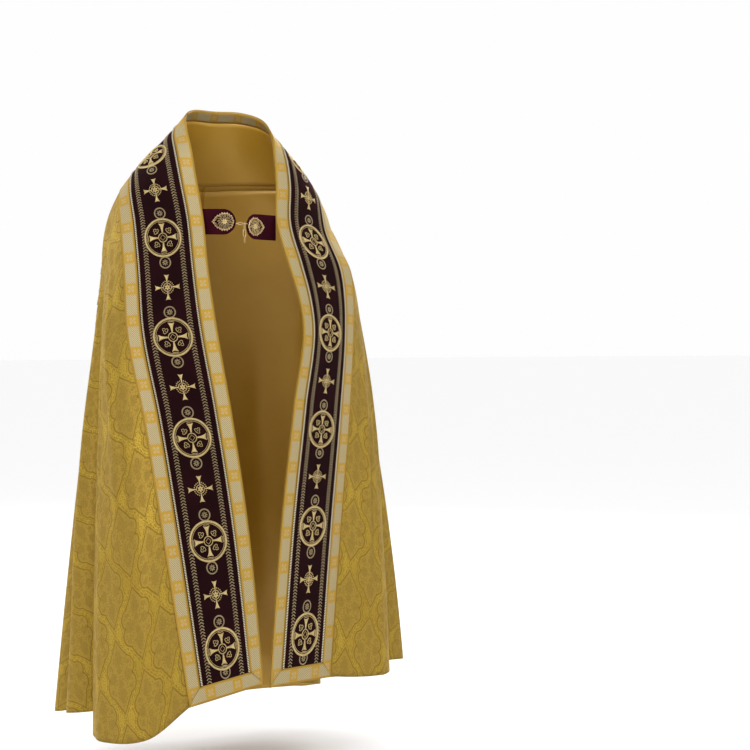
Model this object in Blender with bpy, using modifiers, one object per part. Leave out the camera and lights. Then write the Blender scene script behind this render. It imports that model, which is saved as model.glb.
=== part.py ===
"""A cope: a semicircular vestment of gold brocade, worn open, with velvet orphreys, a hood and a clasp.

Metres, +Z up. The wearer faces -Y, so the wearer's left is +X. The origin is the middle of the neck opening,
where the shoulders carry the cloth. "Out" is the distance to either side of the middle plane.
"""

import math

import bmesh
import bpy
import numpy as np
from mathutils import Matrix, Vector

# The cut: a semicircle whose straight edge carries a band of galloon, velvet and galloon.
HALF_EDGE = 1.43  # centre back to the foot, along the straight edge
BAND_WIDTH = 0.197
GALLOON_WIDTH = 0.0335
NECK_EDGE = 0.30  # the part of the band's outer edge that goes round the shoulders
SHOULDER_SHARE = 0.177  # how far down each line of the cloth the shoulders' bend ends

# Thicknesses.
CLOTH = 0.0015
TRIM = 0.0012
LINING = 0.001
HOOD_CLOTH = 0.002
FRINGE_THICKNESS = 0.004
GAP = 0.0003
SEAM = 0.0009
LAY = 0.0005  # between a trimming and the cloth it lies on

# How finely the faceted cloth is drawn.
RINGS = 13
MOST_STEPS_PER_FOLD = 2

SIDES = {"right": -1, "left": 1}

# The band: inner edge, outer edge, and how far its middle bows out over the shoulder.
# Columns: along, in_out, in_y, in_z, edge_out, edge_y, edge_z, crown.
COLLAR_ROWS = [
    (0.00, 0.000, 0.090, 0.072, 0.000, 0.173, -0.107, 0.012),
    (0.06, 0.056, 0.072, 0.070, 0.060, 0.167, -0.103, 0.014),
    (0.12, 0.092, 0.028, 0.050, 0.118, 0.150, -0.101, 0.018),
]
BAND_ROWS = {
    "right": COLLAR_ROWS
    + [
        (0.18, 0.104, -0.018, 0.012, 0.172, 0.120, -0.102, 0.026),
        (0.25, 0.108, -0.064, -0.042, 0.222, 0.070, -0.110, 0.028),
        (0.32, 0.109, -0.096, -0.103, 0.252, 0.016, -0.138, 0.024),
        (0.42, 0.104, -0.128, -0.197, 0.267, -0.046, -0.216, 0.014),
        (0.52, 0.103, -0.152, -0.294, 0.272, -0.084, -0.310, 0.007),
        (0.65, 0.095, -0.182, -0.420, 0.275, -0.112, -0.436, 0.003),
        (0.85, 0.072, -0.216, -0.616, 0.256, -0.176, -0.630, 0.002),
        (1.10, 0.043, -0.238, -0.862, 0.238, -0.252, -0.876, 0.002),
        (1.43, 0.012, -0.246, -1.200, 0.199, -0.303, -1.220, 0.002),
    ],
    "left": COLLAR_ROWS
    + [
        (0.18, 0.098, -0.018, 0.012, 0.172, 0.120, -0.102, 0.026),
        (0.25, 0.087, -0.062, -0.042, 0.218, 0.070, -0.110, 0.028),
        (0.32, 0.079, -0.094, -0.103, 0.235, 0.016, -0.139, 0.024),
        (0.42, 0.068, -0.125, -0.197, 0.246, -0.036, -0.221, 0.012),
        (0.52, 0.084, -0.155, -0.290, 0.268, -0.086, -0.306, 0.006),
        (0.60, 0.095, -0.185, -0.360, 0.271, -0.096, -0.384, 0.004),
        (0.65, 0.100, -0.198, -0.407, 0.269, -0.098, -0.430, 0.003),
        (0.85, 0.072, -0.215, -0.604, 0.247, -0.125, -0.625, 0.002),
        (1.10, 0.038, -0.228, -0.851, 0.222, -0.136, -0.862, 0.002),
        (1.43, 0.006, -0.235, -1.212, 0.189, -0.147, -1.222, 0.002),
    ],
}

# The shoulders' ring, and how far the falling cloth bows out at the sides below it.
# Columns: half_width, middle_y, back_depth, front_depth, back_z, side_z, front_z, bow.
SHOULDERS = {
    "right": (0.286, 0.030, 0.175, 0.250, -0.330, -0.312, -0.300, 0.008),
    "left": (0.320, 0.030, 0.175, 0.240, -0.330, -0.340, -0.310, 0.018),
}

# One row for each ridge and valley, back to front: where it leaves the band, its place round the shoulders,
# and where it meets the hem.
# Columns: neck_at, round_deg, hem_out, hem_y, hem_z.
FOLDS = {
    "right": [
        (0.000, 0.0, 0.000, 0.262, -1.335),
        (0.050, 20.0, 0.155, 0.278, -1.335),
        (0.100, 36.0, 0.278, 0.268, -1.333),
        (0.130, 46.0, 0.338, 0.220, -1.322),
        (0.150, 54.0, 0.190, 0.125, -1.300),
        (0.170, 61.0, 0.346, 0.112, -1.297),
        (0.185, 67.0, 0.370, 0.052, -1.285),
        (0.200, 73.0, 0.205, 0.012, -1.265),
        (0.215, 79.0, 0.366, -0.008, -1.272),
        (0.232, 84.0, 0.374, -0.066, -1.264),
        (0.250, 90.0, 0.220, -0.110, -1.258),
        (0.265, 95.0, 0.354, -0.142, -1.286),
        (0.278, 100.0, 0.350, -0.228, -1.294),
        (0.290, 107.0, 0.285, -0.302, -1.277),
        (0.300, 114.0, 0.199, -0.303, -1.220),
    ],
    "left": [
        (0.000, 0.0, 0.000, 0.262, -1.335),
        (0.050, 20.0, 0.155, 0.278, -1.335),
        (0.100, 36.0, 0.262, 0.258, -1.332),
        (0.130, 46.0, 0.315, 0.202, -1.320),
        (0.150, 54.0, 0.190, 0.132, -1.290),
        (0.170, 61.0, 0.342, 0.124, -1.288),
        (0.185, 67.0, 0.370, 0.062, -1.270),
        (0.200, 73.0, 0.205, 0.022, -1.240),
        (0.215, 79.0, 0.396, 0.002, -1.230),
        (0.232, 84.0, 0.410, -0.062, -1.217),
        (0.250, 90.0, 0.240, -0.078, -1.215),
        (0.265, 95.0, 0.350, -0.102, -1.227),
        (0.278, 100.0, 0.322, -0.148, -1.230),
        (0.290, 107.0, 0.254, -0.151, -1.228),
        (0.300, 114.0, 0.189, -0.147, -1.222),
    ],
}
LAST_FOLD = len(FOLDS["right"]) - 1
FIRST_SHARED_FOLD = 10.0  # from here to the band the cloth bends with the band's own edge
# Columns: half_width, middle_y, back_depth, z.
PLAIN_HEM = (0.370, 0.020, 0.240, -1.320)

# The hood: a shield that hangs from the band's outer edge.
HOOD_HALF_WIDTH = 0.232
HOOD_FOOT_Z = -0.520
HOOD_CORNER = 0.125
HOOD_TOP_DROP = 0.004
HOOD_LIFT = 0.0080
HOOD_SWING = 0.024  # how much further its foot stands off the mantle
HOOD_SIDE_SWING = 0.25  # the share of that added again at its sides
HOOD_TOP_NARROWING = 0.13  # how much less its top reaches out, where it wraps the neck
HOOD_NARROW_DROP = 0.16
HOOD_COLUMNS_OF_QUADS = 12
HOOD_ROWS_OF_QUADS = 12
HOOD_TRIM = 0.026
HOOD_FRAME_INSET = 0.037
BACK_SEAM_WIDTH = 0.029
FRINGE_START = 0.0045
FRINGE_LENGTH = 0.053
FRINGE_SPREAD = 0.010
OUTLINE_STEPS = 36

# The clasp at the chest: two tabs that meet at a hook, an eye and the link between them.
TAB_HEIGHT = 0.056
TAB_THICKNESS = 0.003
PLATE_THICKNESS = 0.0016
PLATE_POINT = 0.026
PLATE_RADIUS = 0.020
PLATE_CENTRE = 0.0245
# Columns: tip_x, tip_y, tip_z, turn_deg, length.
TABS = {
    "right": (-0.0360, -0.1460, -0.2000, 25.5, 0.0800),
    "left": (-0.0120, -0.1470, -0.2090, 23.0, 0.0900),
}
CLASP_Z = -0.204
WIRE = 0.0006
HOOK_WIRE = 0.0007
EYE_CENTRE = (-0.0182, -0.1475)
EYE_RADIUS = 0.0045
LINK_LENGTH = 0.0158
LINK_RADIUS = 0.0030
JOINING_LENGTH = 0.0108
JOINING_RADIUS = 0.0024
CHAIN_LINKS = 3
LINK_PITCH = LINK_LENGTH - 2 * WIRE - GAP
HOOK_ROUTE = [
    (-0.0374, -0.1491),
    (-0.0352, -0.1503),
    (-0.0322, -0.1502),
    (-0.0306, -0.1490),
    (-0.0303, -0.1475),
    (-0.0307, -0.1458),
    (-0.0318, -0.1446),
    (-0.0330, -0.1442),
]

MATERIALS = {
    "brocade": ((0.385, 0.225, 0.035), 0.42, 0.55),
    "velvet": ((0.055, 0.004, 0.014), 0.90, 0.0),
    "galloon": ((0.62, 0.45, 0.16), 0.50, 0.35),
    "lining": ((0.50, 0.24, 0.03), 0.35, 0.0),
    "fringe": ((0.50, 0.33, 0.12), 0.60, 0.25),
    "plate": ((0.78, 0.66, 0.40), 0.30, 1.0),
}


def line_through(knots, points):
    """A function that reads the smooth line through points at any places."""
    knots, points = np.asarray(knots, float), np.asarray(points, float)
    slopes = np.gradient(points, knots, axis=0)

    def read(at):
        at = np.asarray(at, float)
        i = np.clip(np.searchsorted(knots, at, side="right") - 1, 0, len(knots) - 2)
        step = (knots[i + 1] - knots[i])[..., None]
        t = (at - knots[i])[..., None] / step
        return hermite(points[i], step * slopes[i], points[i + 1], step * slopes[i + 1], t)

    return read


def hermite(start, leave, end, arrive, t):
    return (
        (2 * t**3 - 3 * t**2 + 1) * start
        + (t**3 - 2 * t**2 + t) * leave
        + (3 * t**2 - 2 * t**3) * end
        + (t**3 - t**2) * arrive
    )


def smooth_step(x):
    x = np.clip(x, 0.0, 1.0)
    return x * x * (3 - 2 * x)


def unit(vectors):
    return vectors / np.linalg.norm(vectors, axis=-1, keepdims=True)


def band_line(side):
    """The band's rows as one smooth line, carried on across the centre back."""
    rows = np.array(BAND_ROWS[side])
    mirrored = rows[3:0:-1] * [-1, -1, 1, 1, -1, 1, 1, 1]
    rows = np.vstack([mirrored, rows])
    return line_through(rows[:, 0], rows[:, 1:])


BAND_LINES = {side: band_line(side) for side in SIDES}
FOLD_LINES = {side: line_through(range(len(FOLDS[side])), FOLDS[side]) for side in SIDES}


def band_point(side, along, across):
    """Points of the band as (out, y, z): along from the centre back, across from the front edge."""
    along, across = np.broadcast_arrays(np.asarray(along, float), np.asarray(across, float))
    row = BAND_LINES[side](along)
    inner, outer = row[..., 0:3], row[..., 3:6]
    run = BAND_LINES[side](along + 0.01) - BAND_LINES[side](along - 0.01)
    tangent = run[..., 0:3] + run[..., 3:6]
    bow = unit(np.cross(tangent, outer - inner))
    share = across[..., None] / BAND_WIDTH
    return inner + (outer - inner) * share + bow * row[..., 6:7] * 4 * share * (1 - share)


def shoulder_point(side, turn):
    half_width, middle_y, back, front, back_z, side_z, front_z, _ = SHOULDERS[side]
    at_back = turn < math.pi / 2
    depth = np.where(at_back, back, front)
    end_z = np.where(at_back, back_z, front_z)
    height = end_z + (side_z - end_z) * np.sin(turn) ** np.where(at_back, 2, 8)
    return np.stack([half_width * np.sin(turn), middle_y + depth * np.cos(turn), height], axis=-1)


def plain_hem_point(turn):
    half_width, middle_y, depth, z = PLAIN_HEM
    return np.stack([half_width * np.sin(turn), middle_y + depth * np.cos(turn), z + 0 * turn], axis=-1)


def fall(side, fold, down, plain=False):
    """Points on lines of the cloth, from the band's outer edge over the shoulder and down to the hem."""
    fold, down = np.broadcast_arrays(np.asarray(fold, float), np.asarray(down, float))
    row = FOLD_LINES[side](fold)
    neck_at, turn = row[..., 0], np.radians(row[..., 1])
    top = band_point(side, neck_at, BAND_WIDTH)
    bend = shoulder_point(side, turn)
    hem = plain_hem_point(turn) if plain else row[..., 2:5]
    along = band_point(side, neck_at + 0.01, BAND_WIDTH) - band_point(side, neck_at - 0.01, BAND_WIDTH)
    slope = top - band_point(side, neck_at, BAND_WIDTH - 0.01)
    normal = unit(np.cross(along, slope))
    chord = bend - top
    reach = np.linalg.norm(chord, axis=-1, keepdims=True)
    leave = unit(chord - normal * (chord * normal).sum(axis=-1, keepdims=True)) * reach
    bow = np.zeros_like(bend)
    bow[..., 0] = 0.0 if plain else SHOULDERS[side][-1] * np.sin(turn) ** 3
    arrive = unit(hem - bend + 4 * bow) * reach
    share = down[..., None]
    over = hermite(top, leave, bend, arrive, share / SHOULDER_SHARE)
    below = (share - SHOULDER_SHARE) / (1 - SHOULDER_SHARE)
    straight = bend + (hem - bend) * below + bow * 4 * below * (1 - below)
    return np.where(share < SHOULDER_SHARE, over, straight)


def mantle_point(side, fold, down, plain=False):
    """Points of the mantle as (out, y, z), drawn to the band's edge where it nears the front."""
    fold, down = np.broadcast_arrays(np.asarray(fold, float), np.asarray(down, float))
    points = fall(side, fold, down, plain)
    if plain:
        return points
    nearness = smooth_step((fold - FIRST_SHARED_FOLD) / (LAST_FOLD - FIRST_SHARED_FOLD))[..., None]
    edge = band_point(side, NECK_EDGE + down * (HALF_EDGE - NECK_EDGE), BAND_WIDTH)
    return points + nearness * (edge - fall(side, LAST_FOLD, down))


def placed(side, points):
    """(out, y, z) in the world, half a seam clear of the middle plane."""
    return (points + [SEAM / 2, 0, 0]) * [SIDES[side], 1, 1]


def fold_places():
    """Where the mantle's columns of faces lie, in fold rows; the smooth back panel needs fewer."""
    fine = 1 + np.arange(1, MOST_STEPS_PER_FOLD * (LAST_FOLD - 1) + 1) / MOST_STEPS_PER_FOLD
    return np.concatenate([[0.0, 1.0], fine])


def ring_shares():
    """How far down each ring lies; the last but one is level with the top of the foot galloon."""
    foot = GALLOON_WIDTH / (HALF_EDGE - NECK_EDGE)
    near = [0.0, 0.045, 0.095, 0.14]
    rest = np.linspace(SHOULDER_SHARE, 1 - foot, RINGS - len(near))
    return np.concatenate([near, rest, [1.0]])


def stations(side):
    """Distances along the band at which the mantle's columns and then its rings meet it."""
    neck = FOLD_LINES[side](fold_places())[:, 0]
    front = NECK_EDGE + ring_shares()[1:] * (HALF_EDGE - NECK_EDGE)
    return np.concatenate([neck, front])


def band_world(side, along, across, lift=0.0):
    """Band points in the world, moved out by lift along the cloth's normal."""
    step = 0.004
    points = placed(side, band_point(side, along, across))
    ahead = placed(side, band_point(side, along + step, across)) - points
    down = placed(side, band_point(side, along, across + step)) - points
    return points + unit(np.cross(ahead, down)) * SIDES[side] * lift


def add_grid(mesh, points, reverse=False):
    verts = [[mesh.verts.new(point) for point in row] for row in points]
    for above, below in zip(verts, verts[1:]):
        for i in range(len(above) - 1):
            corners = (above[i], above[i + 1], below[i + 1], below[i])
            mesh.faces.new(corners[::-1] if reverse else corners)


def material(name):
    found = bpy.data.materials.get(name)
    if found:
        return found
    colour, roughness, metallic = MATERIALS[name]
    made = bpy.data.materials.new(name)
    made.use_nodes = True
    made.diffuse_color = (*colour, 1.0)
    shader = made.node_tree.nodes["Principled BSDF"]
    shader.inputs["Base Color"].default_value = (*colour, 1.0)
    shader.inputs["Roughness"].default_value = roughness
    shader.inputs["Metallic"].default_value = metallic
    return made


def keep(name, data, material_name):
    """Puts a new object in the cope's collection, under its empty."""
    made = bpy.data.objects.new(name, data)
    own = material(material_name).copy()
    own.name = name
    data.materials.append(own)
    bpy.data.collections["cope"].objects.link(made)
    made.parent = bpy.data.objects["cope_frame"]
    return made


def sheet(name, grids, thickness, outward, material_name):
    """A wall of cloth: open grids of points, each (points, reverse), welded and given their thickness."""
    mesh = bmesh.new()
    for points, reverse in grids:
        add_grid(mesh, points, reverse)
    bmesh.ops.remove_doubles(mesh, verts=mesh.verts, dist=1e-6)
    data = bpy.data.meshes.new(name)
    mesh.to_mesh(data)
    mesh.free()
    data.shade_smooth()
    made = keep(name, data, material_name)
    wall = made.modifiers.new("wall", "SOLIDIFY")
    wall.thickness = thickness
    wall.offset = 1.0 if outward else -1.0
    return made


def make_mantle(side):
    """The quarter circle of brocade, with the cloth that lies under the band."""
    reverse = side == "right"
    lines = np.array([0.0, GALLOON_WIDTH, BAND_WIDTH / 2, BAND_WIDTH - GALLOON_WIDTH, BAND_WIDTH])
    band = band_world(side, stations(side)[None, :], lines[:, None])
    body = placed(side, mantle_point(side, fold_places()[None, :], ring_shares()[:, None]))
    sheet(f"mantle_{side}", [(band, reverse), (body, reverse)], CLOTH, False, "brocade")


def make_band_strip(name, side, lines, ends, material_name):
    """A strip laid along the band; ends gives how far short of the foot each of its lines stops."""
    rows = []
    for across, end in zip(lines, ends):
        places = stations(side)[:-1].copy()
        places[-1] = HALF_EDGE - end
        rows.append(band_world(side, places, across, LAY))
    sheet(name, [(rows, side == "right")], TRIM, True, material_name)


def make_band(side):
    half = GAP / 2
    inside = GALLOON_WIDTH
    outside = BAND_WIDTH - GALLOON_WIDTH
    velvet_end = GALLOON_WIDTH + half
    velvet = (inside + half, BAND_WIDTH / 2, outside - half)
    make_band_strip(f"orphrey_{side}", side, velvet, (velvet_end,) * 3, "velvet")
    mitre = (GAP, GALLOON_WIDTH + GAP)
    make_band_strip(f"galloon_front_{side}", side, (0.0, inside - half), mitre, "galloon")
    make_band_strip(f"galloon_outer_{side}", side, (outside + half, BAND_WIDTH), mitre[::-1], "galloon")
    across = np.array([GAP, inside, BAND_WIDTH / 2, outside, BAND_WIDTH - GAP])
    heights = np.array([GAP, inside - half, inside - half, inside - half, GAP])
    upper = band_world(side, HALF_EDGE - heights, across, LAY)
    lower = band_world(side, HALF_EDGE, across, LAY)
    rows = np.stack([upper, lower], axis=1)
    sheet(f"galloon_foot_{side}", [(rows, side == "right")], TRIM, True, "galloon")


def round_the_neck(reach, across, lift):
    """Band points from the right side, round the back of the neck, to the left."""
    places = {side: stations(side)[stations(side) <= reach] for side in SIDES}
    right = band_world("right", places["right"][::-1], across, lift)
    left = band_world("left", places["left"], across, lift)
    middle = (right[-1:] + left[:1]) / 2
    return np.concatenate([right[:-1], middle, left[1:]])


def make_neck_linings():
    lift = -(CLOTH + 2 * LAY)
    facing = [round_the_neck(0.22, across, lift) for across in (0.001, 0.028)]
    sheet("neck_facing", [(facing, False)], LINING, False, "galloon")
    satin = [round_the_neck(0.265, across, lift) for across in (0.0283, BAND_WIDTH / 2, 0.185)]
    sheet("neck_lining", [(satin, False)], LINING, False, "lining")


def make_back_seam_galloon():
    across = np.linspace(GALLOON_WIDTH + 0.002, BAND_WIDTH - GALLOON_WIDTH - 0.002, 5)
    lift = 2 * LAY + TRIM
    right = band_world("right", BACK_SEAM_WIDTH / 2, across, lift)
    left = band_world("left", BACK_SEAM_WIDTH / 2, across, lift)
    middle = (band_world("right", 0.0, across, lift) + band_world("left", 0.0, across, lift)) / 2
    sheet("galloon_back_seam", [(np.stack([right, middle, left], axis=1), False)], TRIM, True, "galloon")


def hood_top_z(out):
    """The height of the hood's top edge at this distance from the middle."""
    edge = band_point("right", np.linspace(0.0, NECK_EDGE, 31), BAND_WIDTH)
    return np.interp(out, edge[:, 0], edge[:, 2]) - HOOD_TOP_DROP


def on_the_back(out, z, lift):
    """Points of the mantle's smooth back at these places, moved out by lift."""
    fold = np.maximum(out, 0.001) / 0.05
    down = (hood_top_z(out) - z) / 1.2 + 0.01
    step = 1e-4
    for _ in range(12):
        here = mantle_point("right", fold, down, True)
        by_fold = (mantle_point("right", fold + step, down, True) - here) / step
        by_down = (mantle_point("right", fold, down + step, True) - here) / step
        miss_out, miss_z = out - here[:, 0], z - here[:, 2]
        size = by_fold[:, 0] * by_down[:, 2] - by_fold[:, 2] * by_down[:, 0]
        fold_step = (miss_out * by_down[:, 2] - miss_z * by_down[:, 0]) / size
        down_step = (miss_z * by_fold[:, 0] - miss_out * by_fold[:, 2]) / size
        fold = np.clip(fold + np.clip(fold_step, -0.8, 0.8), -0.5, 11.5)
        down = np.clip(down + np.clip(down_step, -0.1, 0.1), 0.0, 0.9)
    return here + unit(np.cross(by_fold, by_down)) * lift[:, None]


def hood_points(places, lift):
    """Points of the hood at flat (x, z); it stands off the mantle a little more towards its foot."""
    places = np.asarray(places, float)
    x, z = places[..., 0].ravel(), places[..., 1].ravel()
    drop = np.maximum(hood_top_z(np.abs(x)) - z, 0.0)
    out = np.abs(x) * (1 - HOOD_TOP_NARROWING * (1 - smooth_step(drop / HOOD_NARROW_DROP)))
    swing = HOOD_SWING * smooth_step(drop / 0.4) * (1 + HOOD_SIDE_SWING * (out / HOOD_HALF_WIDTH) ** 2)
    points = on_the_back(out, hood_top_z(out) - drop, HOOD_LIFT + swing + lift)
    points[:, 0] *= np.sign(x)
    return points.reshape(places.shape[:-1] + (3,))


def hood_outline(share, inset):
    """(x, z) on the shield's outline, from its right top corner round the foot to its left top corner."""
    half = HOOD_HALF_WIDTH - inset
    radius = HOOD_CORNER - inset
    top = hood_top_z(half)
    foot = HOOD_FOOT_Z + inset
    side_length = top - (foot + radius)
    corner_length = radius * math.pi / 2
    foot_length = half - radius
    going = (1 - abs(2 * share - 1)) * (side_length + corner_length + foot_length)
    if going < side_length:
        x, z = half, top - going
    elif going < side_length + corner_length:
        angle = (going - side_length) / radius
        x, z = half - radius * (1 - math.cos(angle)), foot + radius * (1 - math.sin(angle))
    else:
        x, z = foot_length - (going - side_length - corner_length), foot
    return (-x if share < 0.5 else x), z


def hood_half_width(z):
    """How far the shield reaches at this height."""
    below = np.clip(HOOD_FOOT_Z + HOOD_CORNER - z, 0.0, HOOD_CORNER)
    return HOOD_HALF_WIDTH - HOOD_CORNER + np.sqrt(HOOD_CORNER**2 - below**2)


def make_hood():
    shares = np.linspace(-1, 1, HOOD_COLUMNS_OF_QUADS + 1)
    levels = np.sin(np.linspace(0, math.pi / 2, HOOD_ROWS_OF_QUADS + 1))[:, None]
    top = hood_top_z(0.0)
    x = shares * hood_half_width(top + (HOOD_FOOT_Z - top) * levels)
    top = hood_top_z(np.abs(x))
    places = np.stack([x, top + (HOOD_FOOT_Z - top) * levels], axis=-1)
    sheet("hood_panel", [(hood_points(places, 0.0), False)], HOOD_CLOTH, True, "velvet")


def make_hood_trims():
    shares = np.linspace(0, 1, OUTLINE_STEPS + 1)
    lift = HOOD_CLOTH + 3 * LAY
    edge = [[hood_outline(s, inset) for s in shares] for inset in (HOOD_TRIM, 0.0)]
    sheet("hood_galloon_edge", [(hood_points(edge, lift), False)], TRIM, True, "galloon")
    lines = []
    for inset, drop in ((HOOD_FRAME_INSET + HOOD_TRIM, HOOD_TRIM), (HOOD_FRAME_INSET, 0.0)):
        line = [hood_outline(s, inset) for s in shares]
        top = hood_top_z(HOOD_HALF_WIDTH) - drop
        line[0], line[-1] = (line[0][0], top), (line[-1][0], top)
        across = np.linspace(line[-1][0], line[0][0], 11)[1:-1]
        line += [(x, hood_top_z(abs(x)) - drop) for x in across]
        lines.append(line + line[:1])
    sheet("hood_galloon_frame", [(hood_points(lines, lift), False)], TRIM, True, "galloon")


def make_fringe():
    top, foot = [], []
    for share in np.linspace(0.01, 0.99, OUTLINE_STEPS + 1):
        x, z = hood_outline(share, 0.0)
        aside = (x - hood_outline(share, 0.001)[0]) / 0.001
        top.append((x + aside * FRINGE_START, z - FRINGE_START))
        foot.append((x + aside * FRINGE_SPREAD, z - FRINGE_LENGTH))
    sheet("hood_fringe", [(hood_points([top, foot], 0.0), False)], FRINGE_THICKNESS, True, "fringe")


def tab_frame(side):
    """The tab's own axes at its tip: x away from the clasp's middle, y up, z through the tab."""
    tip_x, tip_y, tip_z, turn_deg, _ = TABS[side]
    turn = math.radians(turn_deg)
    away = Vector((SIDES[side] * math.cos(turn), math.sin(turn), 0.0))
    up = Vector((0.0, 0.0, 1.0))
    through = away.cross(up)
    axes = Matrix((away, up, through)).transposed().to_4x4()
    axes.translation = Vector((tip_x, tip_y, tip_z))
    return axes


def flat_shape(name, outlines, thickness, material_name, axes):
    """A flat outline with holes, given its thickness, on the given axes."""
    data = bpy.data.curves.new(name, "CURVE")
    data.dimensions = "2D"
    data.fill_mode = "BOTH"
    data.extrude = thickness / 2
    for outline in outlines:
        spline = data.splines.new("POLY")
        spline.points.add(len(outline) - 1)
        for point, (x, y) in zip(spline.points, outline):
            point.co = (x, y, 0.0, 1.0)
        spline.use_cyclic_u = True
    made = keep(name, data, material_name)
    made.matrix_world = axes
    return made


def ring_points(x, y, radius_x, radius_y, count, turn=0.0):
    angles = [2 * math.pi * i / count for i in range(count)]
    cos_turn, sin_turn = math.cos(turn), math.sin(turn)
    flat = [(radius_x * math.cos(a), radius_y * math.sin(a)) for a in angles]
    return [(x + u * cos_turn - v * sin_turn, y + u * sin_turn + v * cos_turn) for u, v in flat]


def make_tab(side):
    length = TABS[side][4]
    radius = TAB_HEIGHT / 2
    angles = [math.pi / 2 + math.pi * i / 12 for i in range(13)]
    outline = [(radius + radius * math.cos(a), radius * math.sin(a)) for a in angles]
    outline += [(length, -radius), (length, radius)]
    flat_shape(f"clasp_tab_{side}", [outline], TAB_THICKNESS, "velvet", tab_frame(side))


def make_plate(side):
    """A leaf with a scalloped edge, its point away from the clasp's middle, pierced by four eyes."""
    outline = []
    for i in range(40):
        angle = 2 * math.pi * i / 40
        reach = PLATE_RADIUS + (PLATE_POINT - PLATE_RADIUS) * max(0.0, math.cos(angle)) ** 6
        reach *= 1 + 0.03 * math.cos(10 * angle)
        outline.append((PLATE_CENTRE + 1.08 * reach * math.cos(angle), reach * math.sin(angle)))
    holes = []
    for turn in (0.9, 2.25, -2.25, -0.9):
        x = PLATE_CENTRE + 0.011 * math.cos(turn)
        holes.append(ring_points(x, 0.011 * math.sin(turn), 0.0042, 0.0026, 8, turn))
    axes = tab_frame(side)
    lift = TAB_THICKNESS / 2 + GAP + PLATE_THICKNESS / 2
    forward = Vector(axes.col[2][:3])
    forward *= -math.copysign(1.0, forward.y)
    axes.translation = axes.translation + forward * lift
    flat_shape(f"clasp_plate_{side}", [outline] + holes, PLATE_THICKNESS, "plate", axes)


def wire(name, points, radius, closed, location=(0, 0, 0)):
    data = bpy.data.curves.new(name, "CURVE")
    data.dimensions = "3D"
    data.bevel_depth = radius
    data.bevel_resolution = 1
    data.use_fill_caps = not closed
    spline = data.splines.new("POLY")
    spline.points.add(len(points) - 1)
    for point, place in zip(spline.points, points):
        point.co = (*place, 1.0)
    spline.use_cyclic_u = closed
    made = keep(name, data, "plate")
    made.location = location
    return made


def long_link(length, radius):
    """The centre line of an elongated link as (across, down), its top at the origin."""
    turns = [math.pi * i / 8 for i in range(9)]
    top = [(radius * math.cos(a), radius * math.sin(a) - radius) for a in turns]
    foot = [(-radius * math.cos(a), -radius * math.sin(a) - length + radius) for a in turns]
    return top + foot


def make_clasp_wires():
    eye_x, eye_y = EYE_CENTRE
    angles = np.radians(np.linspace(-20, -335, 24))
    eye = [(eye_x + EYE_RADIUS * math.cos(a), eye_y + EYE_RADIUS * math.sin(a), CLASP_Z) for a in angles]
    stem = [(-0.0104, eye_y - 0.0026, CLASP_Z), (-0.0125, eye_y - 0.0024, CLASP_Z)]
    wire("clasp_eye", stem + eye, WIRE, False)
    wire("clasp_hook", [(x, y, CLASP_Z) for x, y in HOOK_ROUTE], HOOK_WIRE, False)
    left_end = eye_x - EYE_RADIUS + 2 * WIRE + GAP
    joining = [
        (left_end + down, eye_y, CLASP_Z + across)
        for across, down in long_link(JOINING_LENGTH, JOINING_RADIUS)
    ]
    wire("clasp_link", joining, WIRE, True)


def make_chain():
    """Three links that hang from the eye, each turned a quarter from the last; each hangs on its own axis."""
    x = EYE_CENTRE[0]
    y = EYE_CENTRE[1] - EYE_RADIUS
    rise = 2 * WIRE + GAP
    for i in range(CHAIN_LINKS):
        hangs_at = CLASP_Z if i == 0 else CLASP_Z + rise - LINK_LENGTH - (i - 1) * LINK_PITCH
        outline = long_link(LINK_LENGTH, LINK_RADIUS)
        sideways = i % 2 == 1
        points = [
            (across if sideways else 0.0, 0.0 if sideways else across, down + rise)
            for across, down in outline
        ]
        wire(f"chain_link_{i + 1}", points, WIRE, True, (x, y, hangs_at))


def clear_scene():
    for found in list(bpy.data.objects):
        bpy.data.objects.remove(found, do_unlink=True)


def main():
    clear_scene()
    collection = bpy.data.collections.new("cope")
    bpy.context.scene.collection.children.link(collection)
    frame = bpy.data.objects.new("cope_frame", None)
    collection.objects.link(frame)
    for side in SIDES:
        make_mantle(side)
        make_band(side)
        make_tab(side)
        make_plate(side)
    make_neck_linings()
    make_back_seam_galloon()
    make_hood()
    make_hood_trims()
    make_fringe()
    make_clasp_wires()
    make_chain()


main()
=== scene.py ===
"""The looks of a cope: gold brocade, velvet orphreys, an embroidered hood, a bullion fringe and a clasp.

Metres, +Z up; the wearer faces -Y, so the wearer's left is +X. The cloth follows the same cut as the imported
part, drawn finer: every surface is a function of flat places on the cut, and trimmings and stitches are laid
on by it.
"""

import math

import bpy
import numpy as np
from mathutils import Matrix, Vector


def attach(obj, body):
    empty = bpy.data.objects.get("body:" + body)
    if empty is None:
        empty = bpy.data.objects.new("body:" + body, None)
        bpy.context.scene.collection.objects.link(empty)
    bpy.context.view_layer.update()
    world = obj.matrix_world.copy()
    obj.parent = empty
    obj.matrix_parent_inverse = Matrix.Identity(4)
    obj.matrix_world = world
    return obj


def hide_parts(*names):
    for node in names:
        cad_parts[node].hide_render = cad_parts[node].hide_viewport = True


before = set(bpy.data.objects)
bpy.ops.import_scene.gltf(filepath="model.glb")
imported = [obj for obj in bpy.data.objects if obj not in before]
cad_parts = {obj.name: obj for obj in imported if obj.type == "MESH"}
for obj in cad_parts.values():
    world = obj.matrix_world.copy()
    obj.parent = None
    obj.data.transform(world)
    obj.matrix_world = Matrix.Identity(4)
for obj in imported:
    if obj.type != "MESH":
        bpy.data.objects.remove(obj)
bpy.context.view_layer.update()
draws = np.random.default_rng(11)

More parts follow.
